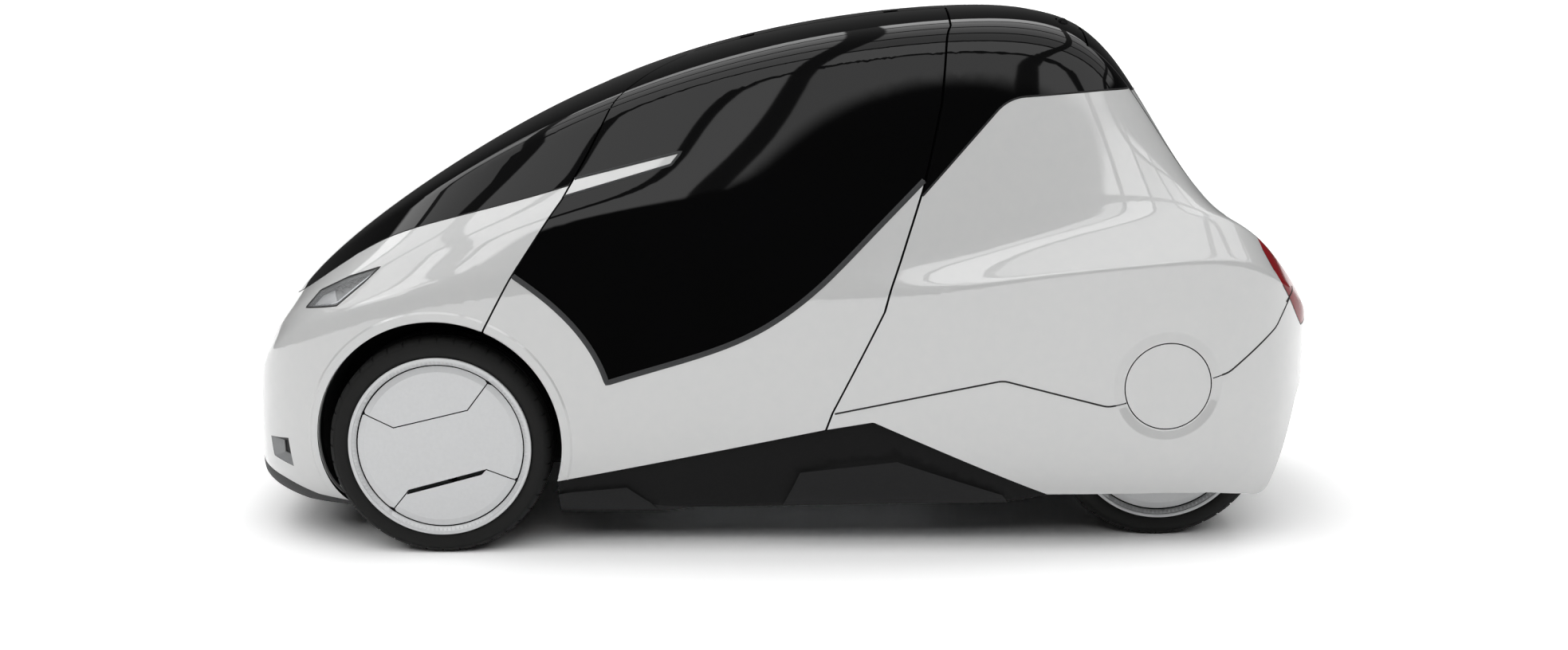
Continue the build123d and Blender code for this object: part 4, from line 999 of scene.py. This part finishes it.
# Road wheels: tyre carcass with its grooves, shoulder blocks round it, and the covered rim
AXLE_HEIGHT = 0.290
CORNERS = [
    ("front_left", -0.895, -0.490), ("front_right", -0.895, 0.490),
    ("rear_left", 1.010, -0.345), ("rear_right", 1.010, 0.345),
]
TYRE_SIDE = [
    (228, 78.5), (238, 78.5), (240, 81), (246, 85.2), (254, 87.2), (262, 87.5), (270, 86.2),
    (277, 82), (281.5, 76), (284.5, 68), (286, 60),
]
TREAD = [
    (288.8, 57), (289.2, 44), (282, 43), (282, 36), (289.6, 35), (290, 14), (283, 13), (283, 6), (290, 5),
]
SHOULDER_BLOCK = [
    (275.5, 83.8), (280.5, 80.2), (285.5, 73.5), (288.4, 65), (288.8, 58.5), (283, 58.5), (276, 76),
]
RING_STEPS = 160
BLOCKS_ROUND = 40
BLOCK_ANGLE = math.radians(8.0)
BLOCK_STEPS = 4
# Radii between which the tyre takes the felt's black, as painted shade on the floor of its grooves and of the
# gaps between its shoulder blocks
GROOVE_SHADE_RADII = (0.276, 0.288)


def shoulder_block():
    """One tread block of each shoulder, curved with the tyre."""
    points, faces = [], []
    size = len(SHOULDER_BLOCK)
    for turn in (1, -1):
        base = len(points)
        for step in range(BLOCK_STEPS + 1):
            angle = BLOCK_ANGLE * step / BLOCK_STEPS
            for radius, y in SHOULDER_BLOCK:
                points.append((radius * MM * math.cos(angle), turn * y * MM, radius * MM * math.sin(angle)))
        faces += bands(base, BLOCK_STEPS + 1, size) + end_faces(base, BLOCK_STEPS + 1, size)
    return new_mesh("shoulder_block", points, faces)


half_profile = [*TYRE_SIDE, *TREAD]
tyre_profile = [*half_profile, *[(radius, -y) for radius, y in reversed(half_profile)]]
tyre_ring = lathe("tyre", tyre_profile, RING_STEPS)
blocks_ring = baked(
    "shoulder_blocks", ring_round_axle, shoulder_block(), Count=BLOCKS_ROUND, Finish=tyre_rubber,
)
COVER_RADIUS, COVER_FACE, GROOVE_FLOOR, CHAMFER_LEAN = 0.2155, 0.0775, 0.0760, 0.25
BARREL_RADIUS, FLANGE_WIDTH = 0.219, 0.019
FLANGE_FACE, FLANGE_HEEL, FLANGE_FOOT = 0.0875, 0.0845, 0.0790
RIM_LIP = [(237.6, 79.0), (237.9, 85.6), (236.2, 87.4), (231.5, 87.4), (229.0, 86.2), (228.2, 80.0)]
lip_ring = lathe("rim_lip", RIM_LIP, RING_STEPS)
# How squarely a face of the wheel has to look outwards to count as flat, as a chamfer, or as a wall
FLAT_FACE, CHAMFER_FACE, WALL_FACE = 0.99, 0.9, 0.3
GROOVE_REACH = 5 * MM

for corner, x, y in CORNERS:
    body = f"roller_{corner}"
    spot = Matrix.Translation((x, y, AXLE_HEIGHT))
    for kind, ring in (("tyre", tyre_ring), ("shoulder_blocks", blocks_ring)):
        mesh = ring.copy()
        mesh.transform(spot)
        piece = new_piece(f"{kind}_{corner}_finish", mesh, [tyre_rubber, liner_felt], body)
        if kind == "tyre":
            # Faces in the grooves and gaps take the darker finish as painted shade
            reach = [math.hypot(face.center.x - x, face.center.z - AXLE_HEIGHT) for face in mesh.polygons]
            mesh.polygons.foreach_set("material_index", [int(GROOVE_SHADE_RADII[0] < r < GROOVE_SHADE_RADII[1]) for r in reach])
        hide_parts(f"tyre_{corner}")
    mesh = lip_ring.copy()
    mesh.transform(Matrix.Diagonal((1, math.copysign(1, y), 1, 1)))
    if y < 0:
        mesh.flip_normals()
    mesh.transform(spot)
    new_piece(f"rim_lip_{corner}", mesh, [wheel_silver], body)
    mesh = merged_copy(f"wheel_{corner}")
    side = math.copysign(1, y)
    for vertex in mesh.vertices:
        radius = math.hypot(vertex.co.x - x, vertex.co.z - AXLE_HEIGHT)
        if (vertex.co.y - y) * side > FLANGE_FACE - 1 * MM:
            share = (radius - BARREL_RADIUS) / FLANGE_WIDTH
            vertex.co.y = y + side * between(FLANGE_FOOT, FLANGE_HEEL, share)
    corners_of = np.zeros((len(mesh.loops), 3))
    finishes = []
    for face in mesh.polygons:
        spokes = np.array([mesh.vertices[v].co for v in face.vertices]) - (x, y, AXLE_HEIGHT)
        radii, outward = np.hypot(spokes[:, 0], spokes[:, 2]), spokes[:, 1] * side
        finishes.append(0)
        if face.normal.y * side > FLAT_FACE and outward.min() > COVER_FACE:
            corners_of[list(face.loop_indices)] = (0, side, 0)
        elif (face.normal.y * side > CHAMFER_FACE and radii.max() < COVER_RADIUS
              and outward.max() > GROOVE_FLOOR):
            lean = spokes / radii[:, None] * CHAMFER_LEAN
            lean[:, 1] = side
            corners_of[list(face.loop_indices)] = lean / np.linalg.norm(lean, axis=1, keepdims=True)
        # Other outward faces in the cover's grooves and on its walls take the satin black, as painted shade
        # in the recesses
        elif outward.min() > 0:
            in_groove = outward.max() < GROOVE_FLOOR and radii.max() < COVER_RADIUS + GROOVE_REACH
            on_wall = abs(face.normal.y) < WALL_FACE and radii.max() < COVER_RADIUS
            finishes[-1] = int(in_groove or on_wall)
    mesh.normals_split_custom_set(corners_of.tolist())
    # Silver for the cover, satin black as painted shade in its grooves
    covers = [wheel_silver, satin_plastic]
    piece = new_piece(f"wheel_{corner}_finish", mesh, covers, body)
    mesh.polygons.foreach_set("material_index", finishes)
    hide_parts(f"wheel_{corner}")

# Studio: pale floor, lit ceiling, one softbox, and the camera of the photograph
# White backdrop paper, shown a little brighter than the light on it makes it, with the shadows kept.
PAPER_SEEN, PAPER_LIT = 1.40, 0.88
backdrop_paper = bpy.data.materials.new("backdrop_paper")
backdrop_paper.use_nodes = True
paper = backdrop_paper.node_tree
paper.nodes.clear()
rays = add(paper, "ShaderNodeLightPath").outputs
mirrored = add(paper, "ShaderNodeMath", {
    0: rays["Is Glossy Ray"], 1: rays["Is Transmission Ray"],
}, operation="MAXIMUM")
seen = add(paper, "ShaderNodeMath", {0: rays["Is Camera Ray"], 1: mirrored.outputs[0]}, operation="MAXIMUM")
level = add(paper, "ShaderNodeMapRange", {
    "Value": seen.outputs[0], "To Min": PAPER_LIT, "To Max": PAPER_SEEN,
})
sheet = add(paper, "ShaderNodeBsdfDiffuse", {"Color": level.outputs[0]})
add(paper, "ShaderNodeOutputMaterial", {"Surface": sheet.outputs[0]})
FLOOR_HALF = 200.0
floor_mesh = bpy.data.meshes.new("studio_floor")
floor_corners = [(x * FLOOR_HALF, y * FLOOR_HALF, 0) for x, y in ((-1, -1), (1, -1), (1, 1), (-1, 1))]
floor_mesh.from_pydata(floor_corners, [], [(0, 1, 2, 3)])
floor_mesh.materials.append(backdrop_paper)
studio_floor = bpy.data.objects.new("studio_floor", floor_mesh)
scene.collection.objects.link(studio_floor)

# Studio light: a ceiling of bright panes with dark bars between, fading to a dim horizon
PANE_WIDTH, PANE_LENGTH, BAR, PANE_SHIFT = 0.70, 0.55, 0.04, 0.05
DIM_PANE, BRIGHT_PANE, BAR_LEVEL, HORIZON_LEVEL = 1.2, 2.35, 0.15, 0.06
# Upward part of the direction: the least that is divided by, and where the ceiling fades out
LEAST_RISE, FADE_FROM, FADE_TO = 0.05, 0.535, 0.56
world = bpy.data.worlds.new("studio")
scene.world = world
world.use_nodes = True
sky = world.node_tree
sky.nodes.clear()
direction = add(sky, "ShaderNodeTexCoord").outputs["Generated"]
height = add(sky, "ShaderNodeSeparateXYZ", {"Vector": direction}).outputs["Z"]
above = add(sky, "ShaderNodeMath", {0: height, 1: LEAST_RISE}, operation="MAXIMUM").outputs[0]
spread = add(sky, "ShaderNodeVectorMath", {0: direction, 1: above}, operation="DIVIDE").outputs[0]
flat = add(sky, "ShaderNodeVectorMath", {0: spread, 1: (PANE_SHIFT, 0, 0)}, operation="ADD").outputs[0]
panes = add(sky, "ShaderNodeTexBrick", {
    "Vector": flat, "Color1": (DIM_PANE,) * 3 + (1,), "Color2": (BRIGHT_PANE,) * 3 + (1,),
    "Mortar": (BAR_LEVEL,) * 3 + (1,), "Scale": 1.0, "Mortar Size": BAR, "Mortar Smooth": 0.2,
    "Brick Width": PANE_WIDTH, "Row Height": PANE_LENGTH,
}, offset=0.0)
fade = add(sky, "ShaderNodeMapRange", {
    "Value": height, "From Min": FADE_FROM, "From Max": FADE_TO,
}, interpolation_type="SMOOTHSTEP")
light = add(sky, "ShaderNodeMix", {
    0: fade.outputs[0], 6: (HORIZON_LEVEL,) * 3 + (1,), 7: panes.outputs["Color"],
}, data_type="RGBA")
background = add(sky, "ShaderNodeBackground", {"Color": light.outputs[2], "Strength": 1.0})
add(sky, "ShaderNodeOutputWorld", {"Surface": background.outputs[0]})


def softbox(name, place, aim, width, length, power):
    """Large soft lamp at a place, facing a point."""
    lamp = bpy.data.lights.new(name, "AREA")
    lamp.shape = "RECTANGLE"
    lamp.size = width
    lamp.size_y = length
    lamp.energy = power
    holder = bpy.data.objects.new(name, lamp)
    holder.location = place
    holder.rotation_euler = (Vector(aim) - Vector(place)).to_track_quat("-Z", "Y").to_euler()
    scene.collection.objects.link(holder)


softbox("front_softbox", place=(-3.4, -2.6, 2.6), aim=(-0.8, -0.4, 0.5), width=1.6, length=0.5, power=4)

camera_data = bpy.data.cameras.new("camera")
camera_data.sensor_width = SENSOR_WIDTH
camera_data.lens = SENSOR_WIDTH * FOCAL_PIXELS / PHOTO_WIDTH
camera = bpy.data.objects.new("camera", camera_data)
looking = Vector((0, math.cos(CAMERA_ELEVATION), -math.sin(CAMERA_ELEVATION)))
camera.location = CAMERA_TARGET - looking * CAMERA_DISTANCE
camera.rotation_euler = looking.to_track_quat("-Z", "Y").to_euler()
scene.collection.objects.link(camera)
scene.camera = camera
scene.view_settings.view_transform = "Standard"
